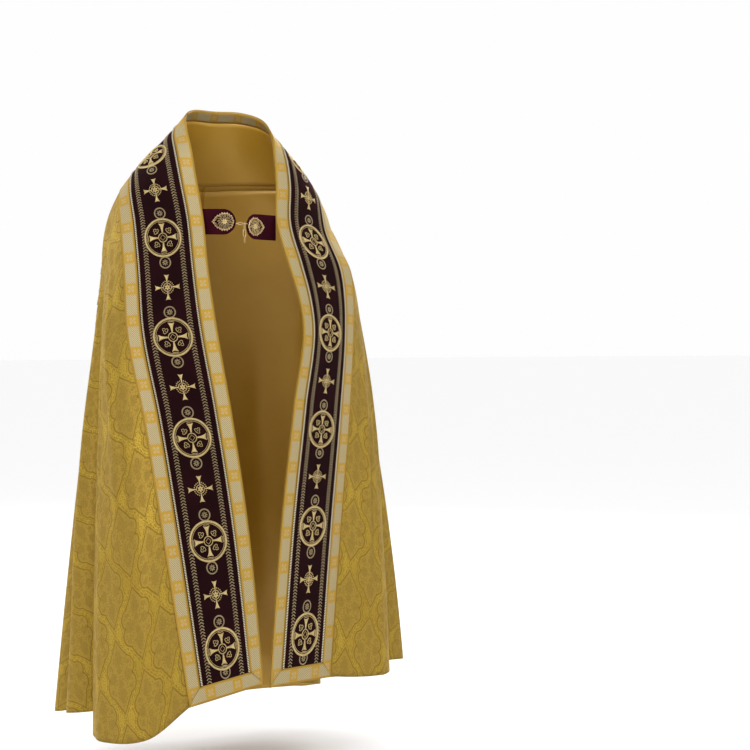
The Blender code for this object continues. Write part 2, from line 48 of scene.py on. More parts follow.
# The cut: a semicircle whose straight edge carries a band of galloon, velvet and galloon.
HALF_EDGE = 1.43
BAND_WIDTH = 0.197
GALLOON_WIDTH = 0.0335
VELVET_WIDTH = BAND_WIDTH - 2 * GALLOON_WIDTH
NECK_EDGE = 0.30
SHOULDER_SHARE = 0.177

# Inside the neck: where the facing and the collar's satin lie across the band, and how far they reach from
# the centre back.
FACING_EDGES = (0.001, 0.028)
FACING_REACH = 0.22
COLLAR_EDGES = (0.0283, 0.185)
COLLAR_REACH = 0.265

# Thicknesses and the room between layers.
CLOTH = 0.0015
BROCADE = 0.0008
LINING_GAP = 0.0001
TRIM = 0.0012
NECK_LINING = 0.001
HOOD_CLOTH = 0.002
GAP = 0.0003
LAY = 0.0005

# How finely the cloth is drawn.
STEPS_PER_FOLD = 8
NEAR_RINGS = 16
FALL_RINGS = 64
CUT_LINE_POINTS = 200
SEARCH_STEPS = 12
PROBE = 0.01  # how far away a second point is taken to read the cloth's direction

SIDES = {"right": -1, "left": 1}

# The band: inner edge, outer edge, and how far its middle bows out over the shoulder.
# Columns: along, in_out, in_y, in_z, edge_out, edge_y, edge_z, crown.
COLLAR_ROWS = [
    (0.00, 0.000, 0.090, 0.072, 0.000, 0.173, -0.107, 0.012),
    (0.06, 0.056, 0.072, 0.070, 0.060, 0.167, -0.103, 0.014),
    (0.12, 0.092, 0.028, 0.050, 0.118, 0.150, -0.101, 0.018),
]
BAND_ROWS = {
    "right": COLLAR_ROWS
    + [
        (0.18, 0.104, -0.018, 0.012, 0.172, 0.120, -0.102, 0.026),
        (0.25, 0.108, -0.064, -0.042, 0.222, 0.070, -0.110, 0.028),
        (0.32, 0.109, -0.096, -0.103, 0.252, 0.016, -0.138, 0.024),
        (0.42, 0.104, -0.128, -0.197, 0.267, -0.046, -0.216, 0.014),
        (0.52, 0.103, -0.152, -0.294, 0.272, -0.084, -0.310, 0.007),
        (0.65, 0.095, -0.182, -0.420, 0.275, -0.112, -0.436, 0.003),
        (0.85, 0.072, -0.216, -0.616, 0.256, -0.176, -0.630, 0.002),
        (1.10, 0.043, -0.238, -0.862, 0.238, -0.252, -0.876, 0.002),
        (1.43, 0.012, -0.246, -1.200, 0.199, -0.303, -1.220, 0.002),
    ],
    "left": COLLAR_ROWS
    + [
        (0.18, 0.098, -0.018, 0.012, 0.172, 0.120, -0.102, 0.026),
        (0.25, 0.087, -0.062, -0.042, 0.218, 0.070, -0.110, 0.028),
        (0.32, 0.079, -0.094, -0.103, 0.235, 0.016, -0.139, 0.024),
        (0.42, 0.068, -0.125, -0.197, 0.246, -0.036, -0.221, 0.012),
        (0.52, 0.084, -0.155, -0.290, 0.268, -0.086, -0.306, 0.006),
        (0.60, 0.095, -0.185, -0.360, 0.271, -0.096, -0.384, 0.004),
        (0.65, 0.100, -0.198, -0.407, 0.269, -0.098, -0.430, 0.003),
        (0.85, 0.072, -0.215, -0.604, 0.247, -0.125, -0.625, 0.002),
        (1.10, 0.038, -0.228, -0.851, 0.222, -0.136, -0.862, 0.002),
        (1.43, 0.006, -0.235, -1.212, 0.189, -0.147, -1.222, 0.002),
    ],
}

# The shoulders' ring, and how far the falling cloth bows out at the sides below it.
# Columns: half_width, middle_y, back_depth, front_depth, back_z, side_z, front_z, bow.
SHOULDERS = {
    "right": (0.286, 0.030, 0.175, 0.250, -0.330, -0.312, -0.300, 0.008),
    "left": (0.320, 0.030, 0.175, 0.240, -0.330, -0.340, -0.310, 0.018),
}

# One row for each ridge and valley, back to front: where it leaves the band, its place round the shoulders,
# and where it meets the hem.
# Columns: neck_at, round_deg, hem_out, hem_y, hem_z.
FOLDS = {
    "right": [
        (0.000, 0.0, 0.000, 0.262, -1.335),
        (0.050, 20.0, 0.155, 0.278, -1.335),
        (0.100, 36.0, 0.278, 0.268, -1.333),
        (0.130, 46.0, 0.338, 0.220, -1.322),
        (0.150, 54.0, 0.190, 0.125, -1.300),
        (0.170, 61.0, 0.346, 0.112, -1.297),
        (0.185, 67.0, 0.370, 0.052, -1.285),
        (0.200, 73.0, 0.205, 0.012, -1.265),
        (0.215, 79.0, 0.366, -0.008, -1.272),
        (0.232, 84.0, 0.374, -0.066, -1.264),
        (0.250, 90.0, 0.220, -0.110, -1.258),
        (0.265, 95.0, 0.354, -0.142, -1.286),
        (0.278, 100.0, 0.350, -0.228, -1.294),
        (0.290, 107.0, 0.285, -0.302, -1.277),
        (0.300, 114.0, 0.199, -0.303, -1.220),
    ],
    "left": [
        (0.000, 0.0, 0.000, 0.262, -1.335),
        (0.050, 20.0, 0.155, 0.278, -1.335),
        (0.100, 36.0, 0.262, 0.258, -1.332),
        (0.130, 46.0, 0.315, 0.202, -1.320),
        (0.150, 54.0, 0.190, 0.132, -1.290),
        (0.170, 61.0, 0.342, 0.124, -1.288),
        (0.185, 67.0, 0.370, 0.062, -1.270),
        (0.200, 73.0, 0.205, 0.022, -1.240),
        (0.215, 79.0, 0.396, 0.002, -1.230),
        (0.232, 84.0, 0.410, -0.062, -1.217),
        (0.250, 90.0, 0.240, -0.078, -1.215),
        (0.265, 95.0, 0.350, -0.102, -1.227),
        (0.278, 100.0, 0.322, -0.148, -1.230),
        (0.290, 107.0, 0.254, -0.151, -1.228),
        (0.300, 114.0, 0.189, -0.147, -1.222),
    ],
}
LAST_FOLD = len(FOLDS["right"]) - 1
FIRST_SHARED_FOLD = 10.0
# Columns: half_width, middle_y, back_depth, z.
PLAIN_HEM = (0.370, 0.020, 0.240, -1.320)
HIDDEN_WALLS = (3, 4, 6, 7, 9, 10)  # the fold intervals that take up the cloth's fullness
LEAST_HIDDEN = 0.3

# Small creases laid over the folds: fold place at the top and its drift, half width in folds, depth,
# and where each starts and ends on the way down.
# Columns: fold, drift, half_width, depth, start, end.
CREASES = {
    "right": [
        (0.55, 0.05, 0.40, 0.0060, 0.30, 1.00),
        (1.45, 0.10, 0.34, -0.0050, 0.42, 1.00),
        (2.10, -0.10, 0.30, 0.0070, 0.20, 0.90),
        (2.70, 0.00, 0.26, -0.0040, 0.55, 1.00),
        (5.40, 0.05, 0.42, 0.0080, 0.30, 1.00),
        (8.45, 0.10, 0.40, 0.0070, 0.26, 0.88),
        (11.35, 0.15, 0.32, -0.0070, 0.22, 0.80),
        (11.75, 0.00, 0.30, 0.0060, 0.50, 1.00),
        (12.45, 0.20, 0.34, 0.0080, 0.12, 0.72),
        (12.85, -0.05, 0.26, -0.0050, 0.45, 1.00),
    ],
    "left": [
        (0.70, -0.10, 0.36, -0.0050, 0.36, 1.00),
        (1.30, 0.05, 0.44, 0.0070, 0.24, 0.94),
        (2.25, 0.05, 0.30, -0.0060, 0.46, 1.00),
        (2.75, 0.10, 0.28, 0.0050, 0.30, 0.80),
        (5.55, -0.10, 0.38, 0.0070, 0.38, 1.00),
        (8.50, 0.05, 0.36, -0.0060, 0.34, 1.00),
        (11.40, 0.00, 0.30, 0.0070, 0.18, 0.74),
        (12.20, 0.10, 0.30, -0.0050, 0.40, 1.00),
        (12.60, 0.00, 0.36, 0.0060, 0.28, 0.92),
    ],
}

# The hood: a shield that hangs from the band's outer edge.
HOOD_HALF_WIDTH = 0.232
HOOD_FOOT_Z = -0.520
HOOD_CORNER = 0.125
HOOD_TOP_DROP = 0.004
HOOD_LIFT = 0.0080
HOOD_SWING = 0.024
HOOD_SIDE_SWING = 0.25
HOOD_TOP_NARROWING = 0.13
HOOD_NARROW_DROP = 0.16
HOOD_TRIM = 0.026
HOOD_FRAME_INSET = 0.037
BACK_SEAM_WIDTH = 0.029
FRINGE_LENGTH = 0.053
FRINGE_SPREAD = 0.010
HEADING_DROP = 0.0022
HOOD_COLUMNS_OF_QUADS = 72
HOOD_ROWS_OF_QUADS = 60
OUTLINE_STEPS = 260
FRINGE_PITCH = 0.0029
STRAND_RADIUS = 0.0015
STRAND_RINGS = 10
STRAND_SIDES = 5

FLOOR_Z = -1.44


# Shape: lines, the band, the fall of the cloth and the hood, all as functions of flat places.


def line_through(knots, points):
    """A function that reads the smooth line through points at any places."""
    knots, points = np.asarray(knots, float), np.asarray(points, float)
    slopes = np.gradient(points, knots, axis=0)

    def read(at):
        at = np.asarray(at, float)
        i = np.clip(np.searchsorted(knots, at, side="right") - 1, 0, len(knots) - 2)
        step = (knots[i + 1] - knots[i])[..., None]
        t = (at - knots[i])[..., None] / step
        return hermite(points[i], step * slopes[i], points[i + 1], step * slopes[i + 1], t)

    return read


def hermite(start, leave, end, arrive, t):
    return (
        (2 * t**3 - 3 * t**2 + 1) * start
        + (t**3 - 2 * t**2 + t) * leave
        + (3 * t**2 - 2 * t**3) * end
        + (t**3 - t**2) * arrive
    )


def smooth_step(x):
    x = np.clip(x, 0.0, 1.0)
    return x * x * (3 - 2 * x)


def distances(line):
    """How far each point of a line is from its first, measured along it."""
    steps = np.linalg.norm(np.diff(line, axis=0), axis=1)
    return np.concatenate([[0.0], np.cumsum(steps)])


def unit(vectors):
    return vectors / np.linalg.norm(vectors, axis=-1, keepdims=True)


def band_line(side):
    """The band's rows as one smooth line, carried on across the centre back."""
    rows = np.array(BAND_ROWS[side])
    mirrored = rows[3:0:-1] * [-1, -1, 1, 1, -1, 1, 1, 1]
    rows = np.vstack([mirrored, rows])
    return line_through(rows[:, 0], rows[:, 1:])


BAND_LINES = {side: band_line(side) for side in SIDES}
FOLD_LINES = {side: line_through(range(len(FOLDS[side])), FOLDS[side]) for side in SIDES}


def band_point(side, along, across):
    """Points of the band as (out, y, z): along from the centre back, across from the front edge."""
    along, across = np.broadcast_arrays(np.asarray(along, float), np.asarray(across, float))
    row = BAND_LINES[side](along)
    inner, outer = row[..., 0:3], row[..., 3:6]
    run = BAND_LINES[side](along + PROBE) - BAND_LINES[side](along - PROBE)
    tangent = run[..., 0:3] + run[..., 3:6]
    bow = unit(np.cross(tangent, outer - inner))
    share = across[..., None] / BAND_WIDTH
    return inner + (outer - inner) * share + bow * row[..., 6:7] * 4 * share * (1 - share)


def shoulder_point(side, turn):
    half_width, middle_y, back, front, back_z, side_z, front_z, _ = SHOULDERS[side]
    at_back = turn < math.pi / 2
    depth = np.where(at_back, back, front)
    end_z = np.where(at_back, back_z, front_z)
    height = end_z + (side_z - end_z) * np.sin(turn) ** np.where(at_back, 2, 8)
    return np.stack([half_width * np.sin(turn), middle_y + depth * np.cos(turn), height], axis=-1)


def plain_hem_point(turn):
    half_width, middle_y, depth, z = PLAIN_HEM
    return np.stack([half_width * np.sin(turn), middle_y + depth * np.cos(turn), z + 0 * turn], axis=-1)


def fall(side, fold, down, plain=False):
    """Points on lines of the cloth, from the band's outer edge over the shoulder and down to the hem."""
    fold, down = np.broadcast_arrays(np.asarray(fold, float), np.asarray(down, float))
    row = FOLD_LINES[side](fold)
    neck_at, turn = row[..., 0], np.radians(row[..., 1])
    top = band_point(side, neck_at, BAND_WIDTH)
    bend = shoulder_point(side, turn)
    hem = plain_hem_point(turn) if plain else row[..., 2:5]
    along = band_point(side, neck_at + PROBE, BAND_WIDTH) - band_point(side, neck_at - PROBE, BAND_WIDTH)
    slope = top - band_point(side, neck_at, BAND_WIDTH - PROBE)
    normal = unit(np.cross(along, slope))
    chord = bend - top
    reach = np.linalg.norm(chord, axis=-1, keepdims=True)
    leave = unit(chord - normal * (chord * normal).sum(axis=-1, keepdims=True)) * reach
    bow = np.zeros_like(bend)
    bow[..., 0] = 0.0 if plain else SHOULDERS[side][-1] * np.sin(turn) ** 3
    arrive = unit(hem - bend + 4 * bow) * reach
    share = down[..., None]
    over = hermite(top, leave, bend, arrive, share / SHOULDER_SHARE)
    below = (share - SHOULDER_SHARE) / (1 - SHOULDER_SHARE)
    straight = bend + (hem - bend) * below + bow * 4 * below * (1 - below)
    return np.where(share < SHOULDER_SHARE, over, straight)


def mantle_point(side, fold, down, plain=False):
    """Points of the mantle as (out, y, z), drawn to the band's edge where it nears the front."""
    fold, down = np.broadcast_arrays(np.asarray(fold, float), np.asarray(down, float))
    points = fall(side, fold, down, plain)
    if plain:
        return points
    nearness = smooth_step((fold - FIRST_SHARED_FOLD) / (LAST_FOLD - FIRST_SHARED_FOLD))[..., None]
    edge = band_point(side, NECK_EDGE + down * (HALF_EDGE - NECK_EDGE), BAND_WIDTH)
    return points + nearness * (edge - fall(side, LAST_FOLD, down))


def crease_depth(side, fold, down):
    """How far the small creases push the cloth in or out."""
    depth = np.zeros(np.broadcast_shapes(fold.shape, down.shape))
    for place, drift, half_width, most, start, end in CREASES[side]:
        beside = np.abs(fold - place - drift * down) / half_width
        profile = 0.5 + 0.5 * np.cos(np.pi * np.minimum(beside, 1.0))
        comes = smooth_step((down - start) / 0.25)
        goes = 1.0 if end >= 1.0 else smooth_step((end - down) / 0.25)
        depth += most * profile * comes * goes
    return depth


def placed(side, points):
    """(out, y, z) in the world."""
    return points * [SIDES[side], 1, 1]


def fold_places():
    return np.linspace(0, LAST_FOLD, STEPS_PER_FOLD * LAST_FOLD + 1)


def ring_shares():
    near = np.linspace(0, SHOULDER_SHARE, NEAR_RINGS + 1)
    return np.concatenate([near, np.linspace(SHOULDER_SHARE, 1.0, FALL_RINGS + 1)[1:]])


def stations(side):
    """Distances along the band at which the mantle's columns and then its rings meet it."""
    neck = FOLD_LINES[side](fold_places())[:, 0]
    return np.concatenate([neck, NECK_EDGE + ring_shares()[1:] * (HALF_EDGE - NECK_EDGE)])


def mantle_surface(side, lift):
    """The creased mantle in the world, moved out by lift along the cloth's own normal."""
    fold, down = fold_places()[None, :], ring_shares()[:, None]
    points = placed(side, mantle_point(side, fold, down))
    normals = grid_normals(points) * SIDES[side]
    depth = crease_depth(side, fold, down)
    return points + normals * (depth + lift)[..., None]


def grid_normals(points):
    """Normals of a grid whose rows run down and whose columns run from back to front."""
    by_row, by_column = np.gradient(points, axis=0), np.gradient(points, axis=1)
    return unit(np.cross(by_column, by_row))


def band_world(side, along, across, lift=0.0):
    """Band points in the world, moved out by lift along the cloth's normal."""
    step = 0.004
    points = placed(side, band_point(side, along, across))
    ahead = placed(side, band_point(side, along + step, across)) - points
    down = placed(side, band_point(side, along, across + step)) - points
    lift = np.asarray(lift, float)[..., None]
    return points + unit(np.cross(ahead, down)) * SIDES[side] * lift


def flat_places(side):
    """Where each point of the mantle's grid lies on the flat semicircle, along the straight edge and from it.

    Each ring keeps its true lengths where the cloth shows; what the cut has over goes into the hidden walls.
    """
    fold, down = fold_places(), ring_shares()
    first = math.asin(BAND_WIDTH / HALF_EDGE)
    turn = np.linspace(math.pi / 2, first, CUT_LINE_POINTS)
    neck = np.linspace(0.0, NECK_EDGE, CUT_LINE_POINTS)
    top = np.stack([neck, np.full_like(neck, BAND_WIDTH)], axis=-1)
    foot = np.stack([HALF_EDGE * np.cos(turn), HALF_EDGE * np.sin(turn)], axis=-1)
    hidden = np.isin(np.minimum(fold[:-1].astype(int), LAST_FOLD - 1), HIDDEN_WALLS)
    found = []
    for share in down:
        line = top + (foot - top) * share
        going = distances(line)
        steps = np.linalg.norm(np.diff(mantle_point(side, fold, share), axis=0), axis=1)
        spare = (going[-1] - steps.sum()) / steps[hidden].sum()
        steps[hidden] *= max(1 + spare, LEAST_HIDDEN)
        at = np.concatenate([[0.0], np.cumsum(steps)]) * going[-1] / steps.sum()
        found.append(np.stack([np.interp(at, going, line[:, i]) for i in range(2)], axis=-1))
    return np.array(found)


def hood_top_z(out):
    """The height of the hood's top edge at this distance from the middle."""
    edge = band_point("right", np.linspace(0.0, NECK_EDGE, 31), BAND_WIDTH)
    return np.interp(out, edge[:, 0], edge[:, 2]) - HOOD_TOP_DROP


def on_the_back(out, z):
    """Points of the mantle's smooth back at these places, and the cloth's normals there."""
    fold = np.maximum(out, 0.001) / 0.05
    down = (hood_top_z(out) - z) / 1.2 + 0.01
    step = 1e-4
    # From these first guesses, Newton's steps, kept short.
    for _ in range(SEARCH_STEPS):
        here = mantle_point("right", fold, down, True)
        by_fold = (mantle_point("right", fold + step, down, True) - here) / step
        by_down = (mantle_point("right", fold, down + step, True) - here) / step
        miss_out, miss_z = out - here[..., 0], z - here[..., 2]
        size = by_fold[..., 0] * by_down[..., 2] - by_fold[..., 2] * by_down[..., 0]
        fold_step = (miss_out * by_down[..., 2] - miss_z * by_down[..., 0]) / size
        down_step = (miss_z * by_fold[..., 0] - miss_out * by_fold[..., 2]) / size
        fold = np.clip(fold + np.clip(fold_step, -0.8, 0.8), -0.5, 11.5)
        down = np.clip(down + np.clip(down_step, -0.1, 0.1), 0.0, 0.9)
    return here, unit(np.cross(by_fold, by_down))


HOOD_GRID_OUT = np.linspace(0.0, 0.29, 59)
HOOD_GRID_DROP = np.linspace(0.0, 0.48, 97)  # below the hood's top edge
HOOD_GRID = np.concatenate(
    on_the_back(
        np.broadcast_to(HOOD_GRID_OUT[:, None], (len(HOOD_GRID_OUT), len(HOOD_GRID_DROP))),
        hood_top_z(HOOD_GRID_OUT)[:, None] - HOOD_GRID_DROP[None, :],
    ),
    axis=-1,
)


def hood_points(places, lift):
    """Points of the hood at flat (x, z); it stands off the mantle a little more towards its foot."""
    places = np.asarray(places, float)
    x, z = places[..., 0], places[..., 1]
    drop = np.maximum(hood_top_z(np.abs(x)) - z, 0.0)
    out = np.abs(x) * (1 - HOOD_TOP_NARROWING * (1 - smooth_step(drop / HOOD_NARROW_DROP)))
    column = np.clip(out / HOOD_GRID_OUT[1], 0, len(HOOD_GRID_OUT) - 1.001)
    row = np.clip(drop / HOOD_GRID_DROP[1], 0, len(HOOD_GRID_DROP) - 1.001)
    i, j = column.astype(int), row.astype(int)
    s, t = (column - i)[..., None], (row - j)[..., None]
    near = HOOD_GRID[i, j] * (1 - t) + HOOD_GRID[i, j + 1] * t
    far = HOOD_GRID[i + 1, j] * (1 - t) + HOOD_GRID[i + 1, j + 1] * t
    found = near * (1 - s) + far * s
    swing = HOOD_SWING * smooth_step(drop / 0.4) * (1 + HOOD_SIDE_SWING * (out / HOOD_HALF_WIDTH) ** 2)
    points = found[..., 0:3] + unit(found[..., 3:6]) * (HOOD_LIFT + swing + lift)[..., None]
    points[..., 0] *= np.where(x < 0, -1.0, 1.0)
    return points


def hood_outline(share, inset):
    """(x, z) on the shield's outline, from its right top corner round the foot to its left top corner."""
    share = np.asarray(share, float)
    half = HOOD_HALF_WIDTH - inset
    radius = HOOD_CORNER - inset
    top = hood_top_z(half)
    foot = HOOD_FOOT_Z + inset
    side_length = top - (foot + radius)
    corner_length = radius * math.pi / 2
    foot_length = half - radius
    going = (1 - abs(2 * share - 1)) * (side_length + corner_length + foot_length)
    angle = np.clip((going - side_length) / radius, 0.0, math.pi / 2)
    x = half - radius * (1 - np.cos(angle)) - np.maximum(going - side_length - corner_length, 0.0)
    z = np.where(going < side_length, top - going, foot + radius * (1 - np.sin(angle)))
    return np.stack([np.where(share < 0.5, -x, x), z], axis=-1)


def hood_half_width(z):
    below = np.clip(HOOD_FOOT_Z + HOOD_CORNER - z, 0.0, HOOD_CORNER)
    return HOOD_HALF_WIDTH - HOOD_CORNER + np.sqrt(HOOD_CORNER**2 - below**2)


# Materials: shader numbers that read as plain arithmetic, and one function for each finish.


class Field:
    """A number that varies over a surface, built up as shader nodes."""

    def __init__(self, tree, socket):
        self.tree = tree
        self.socket = socket

    def math(self, operation, *others):
        node = self.tree.nodes.new("ShaderNodeMath")
        node.operation = operation
        for slot, value in zip(node.inputs, (self, *others)):
            if isinstance(value, Field):
                self.tree.links.new(value.socket, slot)
            else:
                slot.default_value = value
        return Field(self.tree, node.outputs[0])

    def __add__(self, other):
        return self.math("ADD", other)

    def __sub__(self, other):
        return self.math("SUBTRACT", other)

    def __rsub__(self, other):
        return self.math("MULTIPLY_ADD", -1.0, other)

    def __mul__(self, other):
        return self.math("MULTIPLY", other)

    def __truediv__(self, other):
        return self.math("DIVIDE", other)

    def __abs__(self):
        return self.math("ABSOLUTE")

    __radd__ = __add__
    __rmul__ = __mul__

    def min(self, other):
        return self.math("MINIMUM", other)

    def max(self, other):
        return self.math("MAXIMUM", other)

    def sine(self):
        return self.math("SINE")

    def wave(self, period, phase=0.0):
        """0 to 1 and back once in each period."""
        return (self * (2 * math.pi / period) + phase).sine() * 0.5 + 0.5

    def wrapped(self, period, offset=0.0):
        """The distance from the nearest of the places offset, offset + period and so on."""
        return (self - offset).math("WRAP", period / 2, -period / 2)

    def above(self, level, soft):
        """1 where this is over the level, 0 where it is under, and a short ramp between."""
        node = self.tree.nodes.new("ShaderNodeMapRange")
        node.interpolation_type = "SMOOTHSTEP"
        node.inputs["From Min"].default_value = level - soft
        node.inputs["From Max"].default_value = level + soft
        self.tree.links.new(self.socket, node.inputs["Value"])
        return Field(self.tree, node.outputs["Result"])

    def below(self, level, soft):
        return 1.0 - self.above(level, soft)

    def near(self, width, soft):
        """1 on the line where this is 0, as wide as width to each side."""
        return abs(self).below(width, soft)

    def blend(self, low, high):
        """low where this is 0, high where it is 1."""
        return low + (high - low) * self


def length(x, y):
    return (x * x + y * y).math("SQRT")


class Finish:
    """A Principled material whose colour and relief are built from fields."""

    def __init__(self, name, colour, roughness, metallic=0.0, **sockets):
        self.material = bpy.data.materials.new(name)
        self.material.use_nodes = True
        self.material.diffuse_color = (*colour, 1.0)
        self.tree = self.material.node_tree
        self.shader = self.tree.nodes["Principled BSDF"]
        self.colour = colour
        self.shader.inputs["Base Color"].default_value = (*colour, 1.0)
        self.shader.inputs["Roughness"].default_value = roughness
        self.shader.inputs["Metallic"].default_value = metallic
        for socket, value in sockets.items():
            self.shader.inputs[socket.replace("_", " ")].default_value = value

    def places(self):
        """The two fields of the piece's flat places, in metres."""
        node = self.tree.nodes.new("ShaderNodeUVMap")
        node.uv_map = "cut"
        split = self.tree.nodes.new("ShaderNodeSeparateXYZ")
        self.tree.links.new(node.outputs["UV"], split.inputs[0])
        return Field(self.tree, split.outputs["X"]), Field(self.tree, split.outputs["Y"])

    def combined(self, x, y):
        node = self.tree.nodes.new("ShaderNodeCombineXYZ")
        for slot, value in zip(node.inputs, (x, y)):
            self.tree.links.new(value.socket, slot)
        return node.outputs[0]

    def noise(self, scale, detail=2.0, at=None):
        node = self.tree.nodes.new("ShaderNodeTexNoise")
        node.inputs["Scale"].default_value = scale
        node.inputs["Detail"].default_value = detail
        if at is None:
            place = self.tree.nodes.new("ShaderNodeTexCoord")
            at = place.outputs["Object"]
        self.tree.links.new(at, node.inputs["Vector"])
        return Field(self.tree, node.outputs[0])

    def grains(self, scale, at):
        """The distance to the nearest of scattered points, as a share of their spacing."""
        node = self.tree.nodes.new("ShaderNodeTexVoronoi")
        node.voronoi_dimensions = "2D"
        node.inputs["Scale"].default_value = scale
        self.tree.links.new(at, node.inputs["Vector"])
        return Field(self.tree, node.outputs["Distance"])

    def paint(self, mask, colour):
        """Lays a colour over what is painted so far, where the mask is 1."""
        base = self.shader.inputs["Base Color"]
        mix = self.tree.nodes.new("ShaderNodeMix")
        mix.data_type = "RGBA"
        below, above = mix.inputs[6], mix.inputs[7]
        if base.is_linked:
            self.tree.links.new(base.links[0].from_socket, below)
        else:
            below.default_value = (*self.colour, 1.0)
        above.default_value = (*colour, 1.0)
        self.tree.links.new(mask.socket, mix.inputs[0])
        self.tree.links.new(mix.outputs[2], base)

    def roughen(self, field):
        self.tree.links.new(field.socket, self.shader.inputs["Roughness"])

    def relief(self, height, depth, strength=1.0):
        """Bumps of up to depth metres."""
        node = self.tree.nodes.new("ShaderNodeBump")
        node.inputs["Strength"].default_value = strength
        node.inputs["Distance"].default_value = depth
        self.tree.links.new(height.socket, node.inputs["Height"])
        self.tree.links.new(node.outputs[0], self.shader.inputs["Normal"])


# The brocade's figure, in metres on the cut: pointed ogees in half drop, filled with leaves and sprigs.
REPEAT_ALONG = 0.158
REPEAT_ACROSS = 0.114
LOBE_PLACE = (0.0150, 0.0130)
LOBE_RADIUS = 0.0215
TIP_AT = 0.0690
TIP_SLOPE = (0.538, 0.843)
TIP_HALF_WIDTH = 0.0205


def ogee(x, y):
    """Signed distance to a pointed ogee with rounded shoulders, for a place in its positive quarter."""
    lobe = length(x - LOBE_PLACE[0], y - LOBE_PLACE[1]) - LOBE_RADIUS
    tip = x * TIP_SLOPE[0] + y * TIP_SLOPE[1] - TIP_AT * TIP_SLOPE[0]
    return lobe.min(tip.max(y - TIP_HALF_WIDTH))


def leaf(x, y, reach, half_width):
    """A leaf with its point towards +x, for a place measured from its middle."""
    taper = 1.0 - (x / reach) * 0.5
    return length(x / reach, y / (taper * half_width).max(0.001)).below(1.0, 0.16)


def make_brocade():
    made = Finish(
        "brocade", (0.300, 0.190, 0.026), 0.46, 0.45,
        Specular_IOR_Level=0.25, Specular_Tint=(1.0, 0.80, 0.34, 1.0),
    )
    s, t = made.places()
    flat = made.combined(s, t)
    waver = made.noise(38.0, 2.0, flat) - 0.5
    x = abs(s.max(t).wrapped(REPEAT_ALONG) + waver * 0.004)  # upright on both the front and the back
    y = abs(s.min(t).wrapped(REPEAT_ACROSS) + waver * 0.004)
    other_x, other_y = REPEAT_ALONG / 2 - x, REPEAT_ACROSS / 2 - y
    here, there = ogee(x, y), ogee(other_x, other_y)
    which = (here - there).above(0.0, 0.0001)
    x, y = which.blend(x, other_x), which.blend(y, other_y)
    edge = here.min(there)

    weave = (s + t * 0.5).wave(0.0011)
    speckle = made.grains(480.0, flat)
    sprigs = made.grains(150.0, flat)
    patches = made.noise(9.0, 2.0, flat)
    big = made.noise(3.0, 3.0)
    outside = edge.above(0.0030, 0.0010)
    made.paint(big.above(0.50, 0.16) * 0.35, (0.36, 0.235, 0.030))
    made.paint(big.below(0.42, 0.12) * 0.35, (0.235, 0.140, 0.018))
    made.paint(edge.below(-0.001, 0.0010) * 0.5, (0.300, 0.195, 0.040))
    # Painted glints: patches outside the outlines made brighter gold, with bright specks in them where the
    # metal weft would catch the light.
    glint_patches = outside * patches.above(0.40, 0.10)
    made.paint(glint_patches * 0.4, (0.34, 0.220, 0.022))
    made.paint(glint_patches * speckle.below(0.20, 0.10) * 0.8, (0.62, 0.45, 0.085))
    made.paint(speckle.above(0.60, 0.10) * 0.45, (0.170, 0.098, 0.012))
    leaves = leaf(x - 0.036, y, 0.0150, 0.0090).max(leaf(y - 0.0205, x, 0.0095, 0.0095))
    leaves = leaves.max(leaf(x - 0.0140, y, 0.0080, 0.0050))
    leaves = leaves.max(length(x - 0.0230, y - 0.0230).below(0.0042, 0.0012))
    dots = sprigs.below(0.26, 0.10) * edge.below(-0.0045, 0.0010)
    berries = (x + y).wave(0.0064) * (x - y).wave(0.0064)
    made.paint((dots * 0.6).max(leaves * berries.blend(0.35, 1.0)) * 0.75, (0.175, 0.106, 0.017))
    # Painted highlights on the dots of the leaves' lattice.
    made.paint(leaves * berries.above(0.55, 0.2) * 0.3, (0.44, 0.30, 0.070))
    outline = edge.near(0.0009, 0.0005)
    scroll = (edge - 0.0055 + (x + y).wave(0.021) * 0.0012).near(0.0007, 0.0004)
    scroll = scroll * (x - y).wave(0.017).above(0.25, 0.2)
    made.paint(outline.max(scroll * 0.8) * 0.75, (0.140, 0.080, 0.012))
    made.roughen(0.36 + speckle * 0.20 + leaves * 0.12)
    raised = weave * 0.12 + speckle * 0.45 - leaves * 0.4 - outline.max(scroll) * 0.6 + outside * 0.2
    made.relief(raised, 0.0006, 0.7)
    return made.material


def make_satin(name, colour, shade):
    made = Finish(name, colour, 0.34, 0.15, Sheen_Weight=0.3, Sheen_Roughness=0.3, Anisotropic=0.5)
    s, t = made.places()
    made.paint(made.noise(6.0, 3.0).above(0.5, 0.2) * 0.5, shade)
    slubs = made.noise(90.0, 3.0, made.combined(s * 0.15, t * 2.0))
    made.relief(slubs * 0.5 + made.noise(14.0, 2.0) * 2.0 + s.wave(0.0009) * 0.1, 0.0010, 0.35)
    return made.material


def make_velvet(name, colour):
    made = Finish(
        name, colour, 0.85, 0.0,
        Sheen_Weight=0.13, Sheen_Roughness=0.30, Sheen_Tint=(0.60, 0.03, 0.055, 1.0),
        Specular_IOR_Level=0.06,
    )
    nap = made.noise(16.0, 4.0)
    pile = made.noise(900.0, 2.0)
    made.paint(nap.above(0.52, 0.14) * 0.6, [1.9 * part for part in colour])
    made.paint(pile.above(0.56, 0.08) * 0.35, [2.8 * part for part in colour])
    made.relief(pile * 0.6 + nap * 0.8, 0.0008, 0.5)
    return made.material


